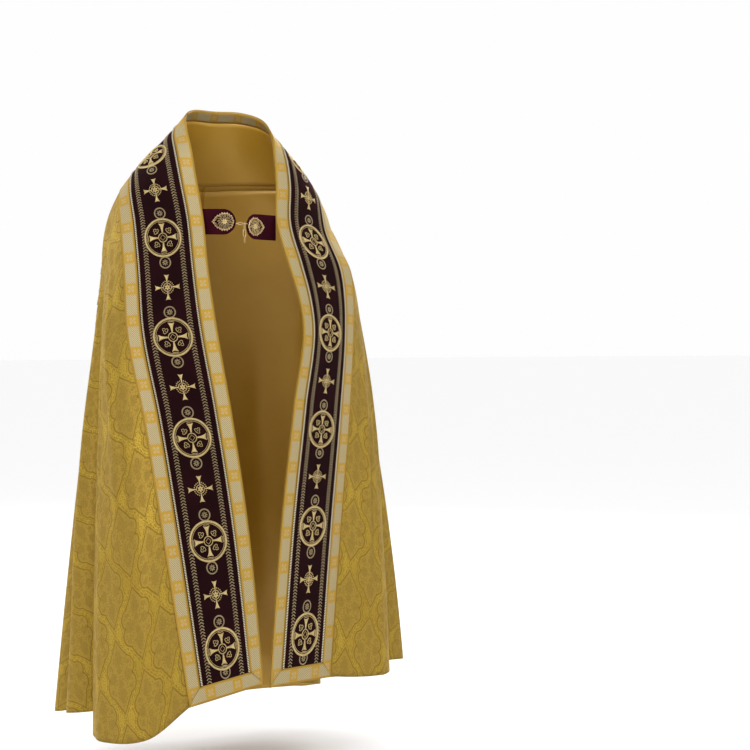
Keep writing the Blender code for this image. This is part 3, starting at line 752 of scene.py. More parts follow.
def make_galloon(name, width, ground, thread, silver=(0.42, 0.345, 0.185), dark=(0.17, 0.105, 0.030)):
    """Woven braid, u along and v across: hatched silver blocks, gold flowers and corded edges."""
    made = Finish(name, ground, 0.45, 0.45, Specular_IOR_Level=0.3, Specular_Tint=(1.0, 0.82, 0.42, 1.0))
    u, v = made.places()
    middle = width / 2
    off = abs(v - middle)
    edge = middle - off
    pitch = width * 2.1
    spot = u.wrapped(pitch)
    field = edge.above(width * 0.15, 0.0005)
    frayed = (off * 3.0).wave(0.0060) * 0.0030
    block = (abs(spot) + frayed).above(width * 0.42, 0.0008) * field
    hatch = (u + v * 1.2).wave(0.0052)
    made.paint(block * 0.92, silver)
    # Painted shade in the hatch's hollows and painted highlight on its ridges, where the relief below is low
    # and high.
    made.paint(block * hatch.below(0.45, 0.30) * 0.55, dark)
    made.paint(block * hatch.above(0.80, 0.15) * 0.4, (0.66, 0.60, 0.42))
    petals = length(abs(spot) - width * 0.12, off - width * 0.12).below(width * 0.095, 0.0006)
    heart = length(spot, off).below(width * 0.06, 0.0005)
    made.paint(length(abs(spot), off).near(width * 0.31, 0.0006) * field * 0.5, thread)
    made.paint(petals.max(heart) * 0.7, silver)
    line = (edge - width * 0.135).near(width * 0.020, 0.0004)
    beads = u.wave(0.0031).above(0.35, 0.2)
    made.paint(line * 0.8, thread)
    made.paint(line * beads * 0.5, silver)
    made.paint((edge - width * 0.085).near(width * 0.015, 0.0004) * beads * 0.45, dark)
    made.paint(edge.below(width * 0.045, 0.0003) * u.wave(0.0017).below(0.4, 0.2) * 0.6, dark)
    ribs = u.wave(0.0011) * 0.4 + hatch * block * 0.5 + line * beads + petals.max(heart) * 0.8
    made.relief(ribs, 0.0006, 0.8)
    made.roughen(0.42 + made.noise(240.0) * 0.16)
    return made.material


def make_thread(name, colour, light, dark, pitch=0.0011):
    """Metal thread laid in close stitches across each stroke."""
    made = Finish(name, colour, 0.36, 0.55)
    u, v = made.places()
    stitch = (u + abs(v) * 0.6).wave(pitch)
    # Painted highlight on each stitch's crest and painted shade in the hollows between stitches, where the
    # relief below is high and low.
    made.paint(stitch.above(0.55, 0.3) * 0.6, light)
    made.paint(stitch.below(0.28, 0.2) * 0.6, dark)
    # Painted glints: scattered bright specks.
    made.paint(made.noise(160.0, 2.0).above(0.55, 0.1) * 0.35, light)
    made.relief(stitch, 0.0005, 0.9)
    return made.material


def make_rope(name, colour, dark, pitch):
    """A twisted cord: its strands cross it at a slant."""
    made = Finish(name, colour, 0.38, 0.5)
    u, v = made.places()
    twist = (u + v * 0.9).wave(pitch)
    # Painted shade: dark laid in the grooves between the strands, where the relief below is low.
    made.paint(twist.below(0.32, 0.2) * 0.85, dark)
    made.relief(twist, 0.0008, 1.0)
    return made.material


def make_metal():
    made = Finish("gilt_metal", (0.70, 0.55, 0.29), 0.26, 1.0)
    wear = made.noise(420.0, 3.0)
    made.paint(wear.below(0.45, 0.12) * 0.5, (0.42, 0.30, 0.13))
    made.roughen(0.22 + wear * 0.2)
    made.relief(wear, 0.0002, 0.4)
    return made.material


MATERIALS = {
    "brocade": make_brocade(),
    "satin": make_satin("lining_satin", (0.46, 0.255, 0.024), (0.54, 0.32, 0.036)),
    "velvet": make_velvet("velvet", (0.0070, 0.0008, 0.0014)),
    # A brighter copy of the velvet for the hood and the tabs: painted light, the velvet as it looks where the
    # light falls near the shoulders.
    "lit_velvet": make_velvet("lit_velvet", (0.0200, 0.0010, 0.0040)),
    "galloon": make_galloon("galloon", GALLOON_WIDTH, (0.415, 0.250, 0.038), (0.46, 0.255, 0.022)),
    "hood_galloon": make_galloon("hood_galloon", HOOD_TRIM, (0.415, 0.250, 0.040), (0.46, 0.255, 0.024)),
    "facing": make_galloon("neck_facing", 0.027, (0.415, 0.255, 0.040), (0.46, 0.265, 0.025)),
    "thread": make_thread("embroidery_thread", (0.58, 0.42, 0.16), (0.80, 0.64, 0.32), (0.26, 0.15, 0.040)),
    "dim_thread": make_thread("dim_thread", (0.30, 0.225, 0.115), (0.46, 0.36, 0.20), (0.11, 0.070, 0.028)),
    "silver_thread": make_rope("pale_rope", (0.52, 0.45, 0.29), (0.020, 0.008, 0.006), 0.0052),
    "gold_rope": make_rope("gold_rope", (0.60, 0.37, 0.075), (0.26, 0.13, 0.02), 0.0024),
    "bullion": make_rope("bullion", (0.50, 0.365, 0.17), (0.17, 0.100, 0.035), 0.0034),
    "bright_thread": make_thread(
        "bright_thread", (0.72, 0.58, 0.30), (0.86, 0.74, 0.46), (0.34, 0.22, 0.08), 0.0009
    ),
    "metal": make_metal(),
}


# Meshes: sheets with their flat places as UVs, and raised work laid on a surface.


def new_object(name, data):
    made = bpy.data.objects.new(name, data)
    bpy.context.scene.collection.objects.link(made)
    return made


def mesh_piece(name, points, faces, face_uvs, material):
    """An object from points, faces (rows of point numbers) and each face corner's flat place."""
    data = bpy.data.meshes.new(name)
    data.from_pydata(np.asarray(points).tolist(), [], [list(face) for face in faces])
    layer = data.uv_layers.new(name="cut")
    layer.data.foreach_set("uv", np.asarray(face_uvs, np.float32).ravel())
    data.shade_smooth()
    data.materials.append(MATERIALS[material])
    made = new_object(name, data)
    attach(made, "cope")
    return made


def grid_faces(rows, columns, reverse, first=0):
    corner = first + np.arange(rows - 1)[:, None] * columns + np.arange(columns - 1)[None, :]
    faces = np.stack([corner, corner + 1, corner + columns + 1, corner + columns], axis=-1)
    faces = faces.reshape(-1, 4)
    return faces[:, ::-1] if reverse else faces


def sheet(name, grids, material, thickness, outward, reverse):
    """A closed wall of cloth from grids of (points, flat places), welded where they meet."""
    points = np.concatenate([grid[0].reshape(-1, 3) for grid in grids])
    places = np.concatenate([np.asarray(grid[1], float).reshape(-1, 2) for grid in grids])
    faces, first = [], 0
    for grid, _ in grids:
        faces.append(grid_faces(grid.shape[0], grid.shape[1], reverse, first))
        first += grid.shape[0] * grid.shape[1]
    faces = np.concatenate(faces)
    _, kept, index = np.unique(np.round(points * 1e5), axis=0, return_index=True, return_inverse=True)
    made = mesh_piece(name, points[kept], index.reshape(-1)[faces], places[faces], material)
    wall = made.modifiers.new("wall", "SOLIDIFY")
    wall.thickness = thickness
    wall.offset = 1.0 if outward else -1.0
    wall.use_even_offset = False
    return made


# A stroke's cross section from edge to edge, and a fill's from its outline to its centre.
STROKE_OFFSETS = np.array([-1.0, -0.62, 0.0, 0.62, 1.0])
STROKE_RISE = np.array([0.0, 0.78, 1.0, 0.78, 0.0])
FILL_SHARES = np.array([1.0, 0.93, 0.70, 0.35, 0.02])
FILL_RISE = np.array([0.0, 0.72, 1.0, 1.05, 1.05])


class Stitches:
    """Raised work on a cloth: strokes and fills at flat places, gathered into one piece."""

    def __init__(self, face):
        self.face = face  # turns flat places and lifts into points
        self.places, self.lifts, self.faces, self.uvs = [], [], [], []
        self.count = 0

    def add(self, places, lifts, uvs):
        """A grid of places."""
        rows, columns = lifts.shape
        faces = grid_faces(rows, columns, False, self.count)
        self.places.append(places.reshape(-1, 2))
        self.lifts.append(lifts.ravel())
        self.faces.append(faces)
        self.uvs.append(uvs.reshape(-1, 2)[faces - self.count])
        self.count += rows * columns

    def stroke(self, line, width, height, closed=False):
        """A rounded stroke along a line of places; width may be one number or one for each place."""
        line = np.asarray(line, float)
        if closed:
            line = np.vstack([line, line[:1]])
            run = np.roll(line[:-1], -1, axis=0) - np.roll(line[:-1], 1, axis=0)
            run = np.vstack([run, run[:1]])
        else:
            run = np.gradient(line, axis=0)
        aside = unit(run)[:, ::-1] * [-1, 1]
        going = distances(line)
        width = np.broadcast_to(np.asarray(width, float), going.shape)
        across = STROKE_OFFSETS[None, :] * width[:, None] / 2
        places = line[:, None, :] + aside[:, None, :] * across[..., None]
        lifts = STROKE_RISE[None, :] * height * (width / width.max())[:, None]
        uvs = np.stack([np.broadcast_to(going[:, None], across.shape), across], axis=-1)
        self.add(places, lifts, uvs)

    def fill(self, outline, height, centre=None, grain=0.0):
        """A padded patch inside an outline that its centre sees all of; grain turns its stitches."""
        outline = np.asarray(outline, float)
        outline = np.vstack([outline, outline[:1]])
        centre = outline[:-1].mean(axis=0) if centre is None else np.asarray(centre, float)
        places = centre + (outline[None, :, :] - centre) * FILL_SHARES[:, None, None]
        lifts = np.broadcast_to(FILL_RISE[:, None] * height, places.shape[:2])
        turn = np.array([[math.cos(grain), -math.sin(grain)], [math.sin(grain), math.cos(grain)]])
        self.add(places, lifts, (places - centre) @ turn)

    def make(self, name, material, slot, reverse=False):
        places, lifts = np.concatenate(self.places), np.concatenate(self.lifts)
        faces, uvs = np.concatenate(self.faces), np.concatenate(self.uvs)
        if reverse:
            faces, uvs = faces[:, ::-1], uvs[:, ::-1]
        return mesh_piece(name, self.face(places, lifts), faces, uvs, material)


# The cloth: mantle, lining, band and neck.


def grid_of(u, v):
    """Flat places of every pair of u (down the columns) and v (down the rows)."""
    u, v = np.broadcast_arrays(np.asarray(u, float), np.asarray(v, float))
    return np.stack([u, v], axis=-1)


def cloth_grids(side, lift):
    """The band's ground and the mantle, as grids of points with their flat places."""
    across = np.linspace(0.0, BAND_WIDTH, 15)[:, None]
    along = stations(side)[None, :]
    return [
        (band_world(side, along, across, lift), grid_of(along, across)),
        (mantle_surface(side, lift), flat_places(side)),
    ]


def make_mantle(side):
    reverse = side == "right"
    grids = cloth_grids(side, 0.0)
    brocade = sheet(f"brocade_{side}", grids, "brocade", BROCADE, False, reverse)
    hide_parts(f"mantle_{side}")
    inside = -(BROCADE + LINING_GAP)
    grids = cloth_grids(side, inside)
    lining = sheet(f"lining_{side}", grids, "satin", CLOTH + inside, False, reverse)


def band_strip(name, side, across, ends, material, flat_across):
    """A strip laid along the band; ends gives how far short of the foot its first and last lines stop."""
    reverse = side == "right"
    short = np.interp(across, [across[0], across[-1]], ends)
    going = stations(side)[:-1]
    along = np.broadcast_to(going, (len(across), len(going))).copy()
    along[:, -1] = HALF_EDGE - short
    along[:, -2] = (along[:, -1] + along[:, -3]) / 2
    points = band_world(side, along, across[:, None], LAY)
    places = grid_of(along, flat_across[:, None])
    return sheet(name, [(points, places)], material, TRIM, True, reverse)


def make_band(side):
    half = GAP / 2
    inside, outside = GALLOON_WIDTH, BAND_WIDTH - GALLOON_WIDTH
    velvet_end = GALLOON_WIDTH + half
    across = np.linspace(inside + half, outside - half, 17)
    velvet = band_strip(
        f"velvet_{side}", side, across, (velvet_end, velvet_end), "velvet", across - inside
    )
    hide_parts(f"orphrey_{side}")
    mitre = (GAP, GALLOON_WIDTH + GAP)
    strips = {"front": (0.0, inside - half, mitre), "outer": (outside + half, BAND_WIDTH, mitre[::-1])}
    for part, (low, high, ends) in strips.items():
        across = np.linspace(low, high, 6)
        name = f"galloon_{part}_{side}"
        strip = band_strip(f"braid_{part}_{side}", side, across, ends, "galloon", across - low)
        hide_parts(name)
    make_foot_braid(side)


def make_foot_braid(side):
    inside, outside = GALLOON_WIDTH, BAND_WIDTH - GALLOON_WIDTH
    across = np.linspace(GAP, BAND_WIDTH - GAP, 33)
    mitres = [GAP, inside, outside, BAND_WIDTH - GAP]
    top = np.interp(across, mitres, [GAP, inside - GAP / 2, inside - GAP / 2, GAP])
    shares = np.linspace(1.0, 0.0, 6)[None, :]
    along = HALF_EDGE - top[:, None] * shares
    points = band_world(side, along, across[:, None], LAY)
    places = grid_of(across[:, None], (HALF_EDGE - along))
    name = f"braid_foot_{side}"
    foot = sheet(name, [(points, places)], "galloon", TRIM, True, side == "right")
    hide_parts(f"galloon_foot_{side}")


def round_the_neck(reach, across, lift):
    """Band points from the right side, round the back of the neck, to the left, with their flat places."""
    along = {side: stations(side)[stations(side) <= reach] for side in SIDES}
    right = band_world("right", along["right"][::-1], across, lift)
    left = band_world("left", along["left"], across, lift)
    middle = (right[-1:] + left[:1]) / 2
    going = np.concatenate([-along["right"][:0:-1], [0.0], along["left"][1:]])
    return np.concatenate([right[:-1], middle, left[1:]]), going


def neck_strip(name, node, reach, across, material):
    lift = -(CLOTH + 2 * LAY)
    rows = [round_the_neck(reach, line, lift) for line in across]
    points = np.stack([row[0] for row in rows])
    places = grid_of(rows[0][1][None, :], (across - across[0])[:, None])
    made = sheet(name, [(points, places)], material, NECK_LINING, False, False)
    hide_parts(node)


def make_neck():
    across = np.linspace(*FACING_EDGES, 5)
    neck_strip("facing_braid", "neck_facing", FACING_REACH, across, "facing")
    across = np.linspace(*COLLAR_EDGES, 15)
    neck_strip("collar_satin", "neck_lining", COLLAR_REACH, across, "satin")


def make_back_braid():
    across = np.linspace(GALLOON_WIDTH + 0.002, BAND_WIDTH - GALLOON_WIDTH - 0.002, 21)
    lift = 2 * LAY + TRIM
    offsets = np.linspace(BACK_SEAM_WIDTH / 2, 0.0, 4)
    right = [band_world("right", offset, across, lift) for offset in offsets]
    left = [band_world("left", offset, across, lift) for offset in offsets[::-1]]
    middle = (right[-1] + left[0]) / 2
    columns = right[:-1] + [middle] + left[1:]
    points = np.stack(columns, axis=1)
    v = np.linspace(0, GALLOON_WIDTH, points.shape[1])[None, :]
    places = grid_of(across[:, None], v)
    made = sheet("braid_back", [(points, places)], "galloon", TRIM, True, False)
    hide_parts("galloon_back_seam")


# The hood.


def run_length(points):
    return np.linalg.norm(np.diff(points, axis=0), axis=1).sum()


def make_hood():
    shares = np.linspace(-1, 1, HOOD_COLUMNS_OF_QUADS + 1)
    levels = np.sin(np.linspace(0, math.pi / 2, HOOD_ROWS_OF_QUADS + 1))[:, None]
    top = hood_top_z(0.0)
    x = shares * hood_half_width(top + (HOOD_FOOT_Z - top) * levels)
    top = hood_top_z(np.abs(x))
    places = np.stack([x, top + (HOOD_FOOT_Z - top) * levels], axis=-1)
    points = hood_points(places, 0.0)
    # The hood is cut from the brighter copy of the velvet, which is painted light.
    panel = sheet("hood_velvet", [(points, places)], "lit_velvet", HOOD_CLOTH, True, False)
    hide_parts("hood_panel")
    width = max(run_length(row) for row in points)
    height = run_length(points[:, HOOD_COLUMNS_OF_QUADS // 2])
    corners = (2 - math.pi / 2) * HOOD_CORNER**2
    width * height - corners


def outline_band(name, node, outer, inner):
    """A braid between two lines of places that run side by side."""
    shares = np.linspace(0.0, 1.0, 5)[:, None, None]
    lines = inner[None] + (outer - inner)[None] * shares
    points = hood_points(lines, HOOD_CLOTH + 3 * LAY)
    middle = points[len(points) // 2]
    going = distances(middle)
    places = grid_of(going[None, :], HOOD_TRIM * shares[:, :, 0])
    made = sheet(name, [(points, places)], "hood_galloon", TRIM, True, False)
    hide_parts(node)


def make_hood_trims():
    shares = np.linspace(0, 1, OUTLINE_STEPS + 1)
    outer, inner = hood_outline(shares, 0.0), hood_outline(shares, HOOD_TRIM)
    outline_band("hood_edge_braid", "hood_galloon_edge", outer, inner)
    lines = []
    for inset, drop in ((HOOD_FRAME_INSET, 0.0), (HOOD_FRAME_INSET + HOOD_TRIM, HOOD_TRIM)):
        line = hood_outline(shares, inset)
        top = hood_top_z(HOOD_HALF_WIDTH) - drop
        line[[0, -1], 1] = top
        across = np.linspace(line[-1, 0], line[0, 0], 61)[1:-1]
        run = np.stack([across, hood_top_z(np.abs(across)) - drop], axis=-1)
        lines.append(np.vstack([line, run, line[:1]]))
    outline_band("hood_frame_braid", "hood_galloon_frame", lines[0], lines[1])


def make_fringe():
    """Twisted strands that hang from a narrow heading along the hood's outline."""
    shares = np.linspace(0.006, 0.994, 3000)
    outline = hood_outline(shares, 0.0)
    going = distances(outline)
    count = int(going[-1] / FRINGE_PITCH)
    at = np.linspace(0.0, going[-1], count) + draws.normal(0.0, FRINGE_PITCH * 0.06, count)
    at_share = np.interp(np.clip(at, 0.0, going[-1]), going, shares)
    start = hood_outline(at_share, 0.0)
    aside = (start - hood_outline(at_share, 0.001)) / 0.001
    reach = FRINGE_SPREAD * (1.0 + draws.normal(0.0, 0.04, count))
    drop = FRINGE_LENGTH * (1.0 + draws.normal(0.0, 0.010, count))
    sway = draws.normal(0.0, 0.0006, count)
    down = np.linspace(0.0, 1.0, STRAND_RINGS)[None, :]
    spread = 0.002 + (reach[:, None] - 0.002) * down**0.8
    x = start[:, 0:1] + aside[:, 0:1] * spread + sway[:, None] * down**2
    z = start[:, 1:2] - HEADING_DROP - (drop[:, None] - HEADING_DROP) * down
    layer = np.where(np.arange(count) % 2, 0.0012, -0.0004)[:, None]
    lift = 0.0022 + layer + draws.normal(0, 0.0004, count)[:, None]
    middles = hood_points(np.stack([x, z], axis=-1), np.broadcast_to(lift, x.shape))
    run = unit(np.gradient(middles, axis=1))
    side = unit(np.cross(run, np.array([0.0, -1.0, 0.0])))
    up = np.cross(side, run)
    angles = np.linspace(0, 2 * math.pi, STRAND_SIDES + 1)
    radius = STRAND_RADIUS * (1.0 + 0.10 * np.sin(down * 9.0 + at[:, None] * 900.0))
    radius[:, -1] *= 0.6
    ring = np.cos(angles)[:, None] * side[:, :, None, :] + np.sin(angles)[:, None] * up[:, :, None, :]
    points = middles[:, :, None, :] + ring * radius[:, :, None, None]
    u = np.broadcast_to((FRINGE_LENGTH * down)[:, :, None], points.shape[:3])
    v = np.broadcast_to((angles * STRAND_RADIUS)[None, None, :], points.shape[:3])
    uvs = np.stack([u, v], axis=-1).reshape(-1, 2)
    size = STRAND_RINGS * (STRAND_SIDES + 1)
    one = grid_faces(STRAND_RINGS, STRAND_SIDES + 1, True)
    faces = (one[None] + np.arange(count)[:, None, None] * size).reshape(-1, 4)
    fringe = mesh_piece("fringe_strands", points.reshape(-1, 3), faces, uvs[faces], "bullion")
    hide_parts("hood_fringe")
    heading = Stitches(hood_points)
    line = hood_outline(np.linspace(0.004, 0.996, 500), -HEADING_DROP)
    heading.stroke(line, 0.0060, 0.0034)
    heading.make("fringe_heading", "gold_rope", "fringe")


# Embroidery on the orphreys and the hood. Places are (along, across) or (x, z), and motifs are drawn about
# their middles.

MOTIF_PITCH = 0.2195  # medallion to medallion
FIRST_MEDALLION = 0.062  # above the velvet's foot
HERRINGBONES = (0.0225, 0.1070)  # across the velvet, from its front edge
HERRINGBONE_PITCH = 0.0062
LOWEST_ROSETTE = 0.0145
EDGE_CORDS = (0.0030, 0.1262)


def arc(middle, radius, start, end, count):
    angles = np.radians(np.linspace(start, end, count))
    return np.asarray(middle, float) + radius * np.stack([np.cos(angles), np.sin(angles)], axis=-1)


def ring(work, middle, radius, width, height, count=48):
    work.stroke(arc(middle, radius, 0, 360, count + 1)[:-1], width, height, closed=True)


def turned(points, degrees, middle=(0.0, 0.0)):
    angle = math.radians(degrees)
    turn = np.array([[math.cos(angle), math.sin(angle)], [-math.sin(angle), math.cos(angle)]])
    return np.asarray(points, float) @ turn + np.asarray(middle, float)


def drop_shape(length_, width, count=14):
    """A petal from the origin along +x."""
    t = np.linspace(0, math.pi, count)
    upper = np.stack([length_ * (0.5 - 0.5 * np.cos(t)), width / 2 * np.sin(t) ** 0.8], axis=-1)
    return np.vstack([upper, upper[-2:0:-1] * [1, -1]])


def flared_arm(inner, outer, waist, flare, hollow):
    """A cross arm along +x that widens towards a hollowed end."""
    x = np.linspace(inner, outer, 9)
    half = waist + (flare - waist) * ((x - inner) / (outer - inner)) ** 2.2
    side = np.stack([x, half], axis=-1)
    y = np.linspace(1, -1, 7)[1:-1]
    end = np.stack([outer - hollow * (1 - y**2), flare * y], axis=-1)
    return np.vstack([side, end, side[::-1] * [1, -1]])


def trefoil(work, middle, turn, size, height):
    """Three leaves and a stalk, the middle leaf pointing along the turn."""
    lobes = [
        (-0.38, 0.0), (-0.30, 0.26), (-0.20, 0.58), (0.10, 0.62), (0.22, 0.30),
        (0.52, 0.30), (0.78, 0.0),
    ]
    half = np.array(lobes) * size
    outline = np.vstack([half, half[-2:0:-1] * [1, -1]])
    work.stroke(turned(outline, turn, middle), 0.0016, height, closed=True)
    stalk = np.array([(-0.18, 0.0), (0.12, 0.0), (0.36, 0.0)]) * size
    work.stroke(turned(stalk, turn, middle), 0.0012, height)


def rosette(work, middle):
    ring(work, middle, 0.0120, 0.0030, 0.0009, 32)
    for k in range(8):
        petal = drop_shape(0.0056, 0.0026, 9) + [0.0014, 0.0]
        work.fill(turned(petal, 45 * k, middle), 0.0009, grain=math.radians(45 * k))


def medallion(work, middle):
    ring(work, middle, 0.0410, 0.0046, 0.0020, 72)
    ring(work, middle, 0.0366, 0.0012, 0.0008, 72)
    ring(work, middle, 0.0098, 0.0020, 0.0012, 32)
    diamond = turned([(0.0062, 0), (0, 0.0062), (-0.0062, 0), (0, -0.0062)], 0, middle)
    work.stroke(diamond, 0.0013, 0.0009, closed=True)
    for k in range(4):
        arm = flared_arm(0.0112, 0.0325, 0.0017, 0.0078, 0.0022)
        work.fill(turned(arm, 90 * k, middle), 0.0014, centre=turned([(0.0215, 0.0)], 90 * k, middle)[0])
        tip = turned([(0.0342, -0.0062), (0.0336, 0.0), (0.0342, 0.0062)], 90 * k, middle)
        work.stroke(tip, 0.0014, 0.0010)
        corner = turned([(0.0198, 0.0)], 45 + 90 * k, middle)[0]
        trefoil(work, corner, 45 + 90 * k, 0.0105, 0.0011)


def cross_pattee(work, middle):
    for k in range(4):
        arm = flared_arm(0.0100, 0.0285, 0.0012, 0.0062, 0.0016)
        work.fill(turned(arm, 90 * k, middle), 0.0014, centre=turned([(0.0190, 0.0)], 90 * k, middle)[0])
    for k in range(20):
        if k % 5:
            dot = turned([(0.0138, 0.0)], 18 * k, middle)[0]
            ring(work, dot, 0.0008, 0.0013, 0.0010, 8)
    ring(work, middle, 0.0090, 0.0017, 0.0011, 32)
    for k in range(6):
        work.fill(turned(drop_shape(0.0060, 0.0036, 8) + [0.0010, 0], 60 * k, middle), 0.0010)


def herringbone(work, start, end, across, spread):
    """Slanting stitches in pairs that meet on a line along the velvet."""
    count = int((end - start) / HERRINGBONE_PITCH)
    for k in range(count):
        u = start + (k + 0.5) * (end - start) / count
        for way in (-1, 1):
            leg = [(u - 0.0020, across), (u + 0.0022, across + way * spread)]
            work.stroke(leg, 0.0024, 0.0012)


def orphrey_face(side):
    """Turns (along, across the velvet) and lifts above it into points."""

    def face(places, lifts):
        return band_world(side, places[:, 0], places[:, 1] + GALLOON_WIDTH, LAY + TRIM + lifts)

    return face


def orphrey_stops():
    """The motifs up one orphrey, from its foot to the centre back."""
    foot = HALF_EDGE - GALLOON_WIDTH
    order = (rosette, medallion, rosette, cross_pattee)
    step = MOTIF_PITCH / len(order)
    places = np.arange(foot - FIRST_MEDALLION + step, 0.022, -step)
    places[0] = foot - LOWEST_ROSETTE
    return [(place, order[k % len(order)]) for k, place in enumerate(places)]


def make_orphrey_work(side):
    middle = VELVET_WIDTH / 2 - 0.0008
    reverse = side == "left"
    motifs, rosettes = Stitches(orphrey_face(side)), Stitches(orphrey_face(side))
    for along, draw in orphrey_stops():
        draw(rosettes if draw is rosette else motifs, np.array([along, middle]))
    motifs.make(f"motifs_{side}", "thread", "galloon", reverse)
    rosettes.make(f"rosettes_{side}", "dim_thread", "galloon", reverse)
    foot = HALF_EDGE - GALLOON_WIDTH - 0.0006
    start = 0.0005
    braid = Stitches(orphrey_face(side))
    for across in HERRINGBONES:
        herringbone(braid, start, foot, across, 0.0056)
    along = np.linspace(start, foot, 420)
    braid.make(f"herringbone_{side}", "dim_thread", "galloon", reverse)
    cords = Stitches(orphrey_face(side))
    for across in EDGE_CORDS:
        cords.stroke(np.stack([along, np.full_like(along, across)], axis=-1), 0.0042, 0.0020)
    cords.make(f"edge_cords_{side}", "silver_thread", "galloon", reverse)


HOOD_CROSS_Z = -0.292
STAR_LINE = [(0.0455, 0.0), (0.0285, 0.0085), (0.0160, 0.0160), (0.0085, 0.0285)]
ARM_LINE = [(0.060, 0.0045), (0.085, 0.0062), (0.107, 0.0115), (0.124, 0.0200), (0.138, 0.0320)]
ARM_END = [(0.1375, 0.0200), (0.1405, 0.0100), (0.1380, 0.0)]
TULIP_LINE = [
    (-0.030, 0.0), (-0.0215, 0.0100), (-0.0125, 0.0190), (-0.006, 0.0280), (0.000, 0.0390),
    (0.0020, 0.0290), (0.0022, 0.0200), (0.0030, 0.0095), (0.0100, 0.0135), (0.0180, 0.0150),
    (0.0260, 0.0130), (0.0310, 0.0070),
]


def make_hood_work():
    def face(places, lifts):
        return hood_points(places, HOOD_CLOTH + lifts)

    middle = np.array([0.0, HOOD_CROSS_Z])
    work, lines = Stitches(face), Stitches(face)
    side, end = np.array(ARM_LINE), np.array(ARM_END)
    outline = np.vstack([side, end, end[-2::-1] * [1, -1], side[::-1] * [1, -1]])
    for k in range(4):
        turn = 90 * k
        work.fill(turned(outline, turn, middle), 0.0026, centre=turned([(0.108, 0.0)], turn, middle)[0])
        lines.stroke(turned(outline, turn, middle), 0.0024, 0.0026, closed=True)
        for way in (-1, 1):
            rib = turned([(0.075, way * 0.0020), (0.100, way * 0.0040), (0.132, way * 0.0140)], turn, middle)
            lines.stroke(rib, 0.0014, 0.0036)
        scale = turned(arc((0.112, 0.0), 0.0090, -60, 60, 9), turn, middle)
        lines.stroke(scale, 0.0014, 0.0036)
    ring(work, middle, 0.0550, 0.0115, 0.0034, 96)
    for radius in (0.0610, 0.0488):
        ring(lines, middle, radius, 0.0020, 0.0026, 96)
    quarter = np.array(STAR_LINE)
    loop = np.vstack([turned(quarter, 90 * k) for k in range(4)]) + middle
    work.stroke(loop, 0.0085, 0.0028, closed=True)
    half = np.array(TULIP_LINE)
    outline = np.vstack([half, half[:0:-1] * [1, -1]])
    for k in range(4):
        place = turned([(0.1010, 0.0)], 45 + 90 * k, middle)[0]
        work.stroke(turned(outline, 45 + 90 * k, place), 0.0062, 0.0024, closed=True)
    work.make("hood_cross", "thread", "galloon", True)
    lines.make("hood_cross_lines", "bright_thread", "galloon", True)



# The clasp.

TAB_HEIGHT = 0.056
TAB_THICKNESS = 0.003
TAB_SECTION = ((0.0006, -1.0), (0.0, -0.4), (0.0, 0.4), (0.0007, 0.9), (0.0030, 1.0))  # inset, rise
PLATE_TEETH = 22
PLATE_POINT = 0.026
PLATE_RADIUS = 0.020
PLATE_CENTRE = 0.0245
# Columns: tip_x, tip_y, tip_z, turn_deg, length.
TABS = {
    "right": (-0.0360, -0.1460, -0.2000, 25.5, 0.0800),
    "left": (-0.0120, -0.1470, -0.2090, 23.0, 0.0900),
}


def tab_frame(side):
    """The tab's own axes at its tip: x away from the clasp's middle, y up, z forward."""
    tip_x, tip_y, tip_z, turn_deg, _ = TABS[side]
    turn = math.radians(turn_deg)
    away = Vector((SIDES[side] * math.cos(turn), math.sin(turn), 0.0))
    up = Vector((0.0, 0.0, 1.0))
    axes = Matrix((away, up, away.cross(up) * SIDES[side])).transposed().to_4x4()
    axes.translation = Vector((tip_x, tip_y, tip_z))
    return np.array(axes)


def tab_face(side):
    axes = tab_frame(side)

    def face(places, lifts):
        local = np.concatenate([places, lifts[..., None]], axis=-1)
        return local @ axes[:3, :3].T + axes[:3, 3]

    return face


def make_tab(side):
    """A velvet tab with a rounded end and softened edges."""
    face = tab_face(side)
    length_ = TABS[side][4]
    radius = TAB_HEIGHT / 2
    half = TAB_THICKNESS / 2
    rings = []
    for inset, rise in TAB_SECTION:
        lift = half * rise
        curve = arc((radius, 0.0), radius - inset, 90, 270, 37)
        end = length_ - inset
        outline = np.vstack([curve, [(end, -radius + inset), (end, 0.0), (end, radius - inset)]])
        rings.append((outline, lift))
    count = len(rings[0][0])
    places = np.concatenate([outline for outline, _ in rings] + [np.array([[length_ / 2, 0.0]])] * 2)
    lifts = np.concatenate([np.full(count, lift) for _, lift in rings] + [[half], [-half]])
    faces = []
    last = (len(rings) - 1) * count
    for k in range(count):
        ahead = (k + 1) % count
        for row in range(len(rings) - 1):
            low = row * count
            faces.append((low + k, low + ahead, low + count + ahead, low + count + k))
        faces.append((last + k, last + ahead, len(places) - 2))
        faces.append((ahead, k, len(places) - 1))
    uvs = [tuple(places[corner]) for corners in faces for corner in corners]
    # The tab takes the brighter copy of the velvet, which is painted light.
    tab = mesh_piece(f"tab_velvet_{side}", face(places, lifts), faces, uvs, "lit_velvet")
    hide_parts(f"clasp_tab_{side}")


def plate_reach(angle):
    """The leaf's edge from its middle: a point away from the clasp's middle and small scallops."""
    reach = PLATE_RADIUS + (PLATE_POINT - PLATE_RADIUS) * np.maximum(0.0, np.cos(angle)) ** 6
    return reach * (1 + 0.03 * np.cos(10 * angle))


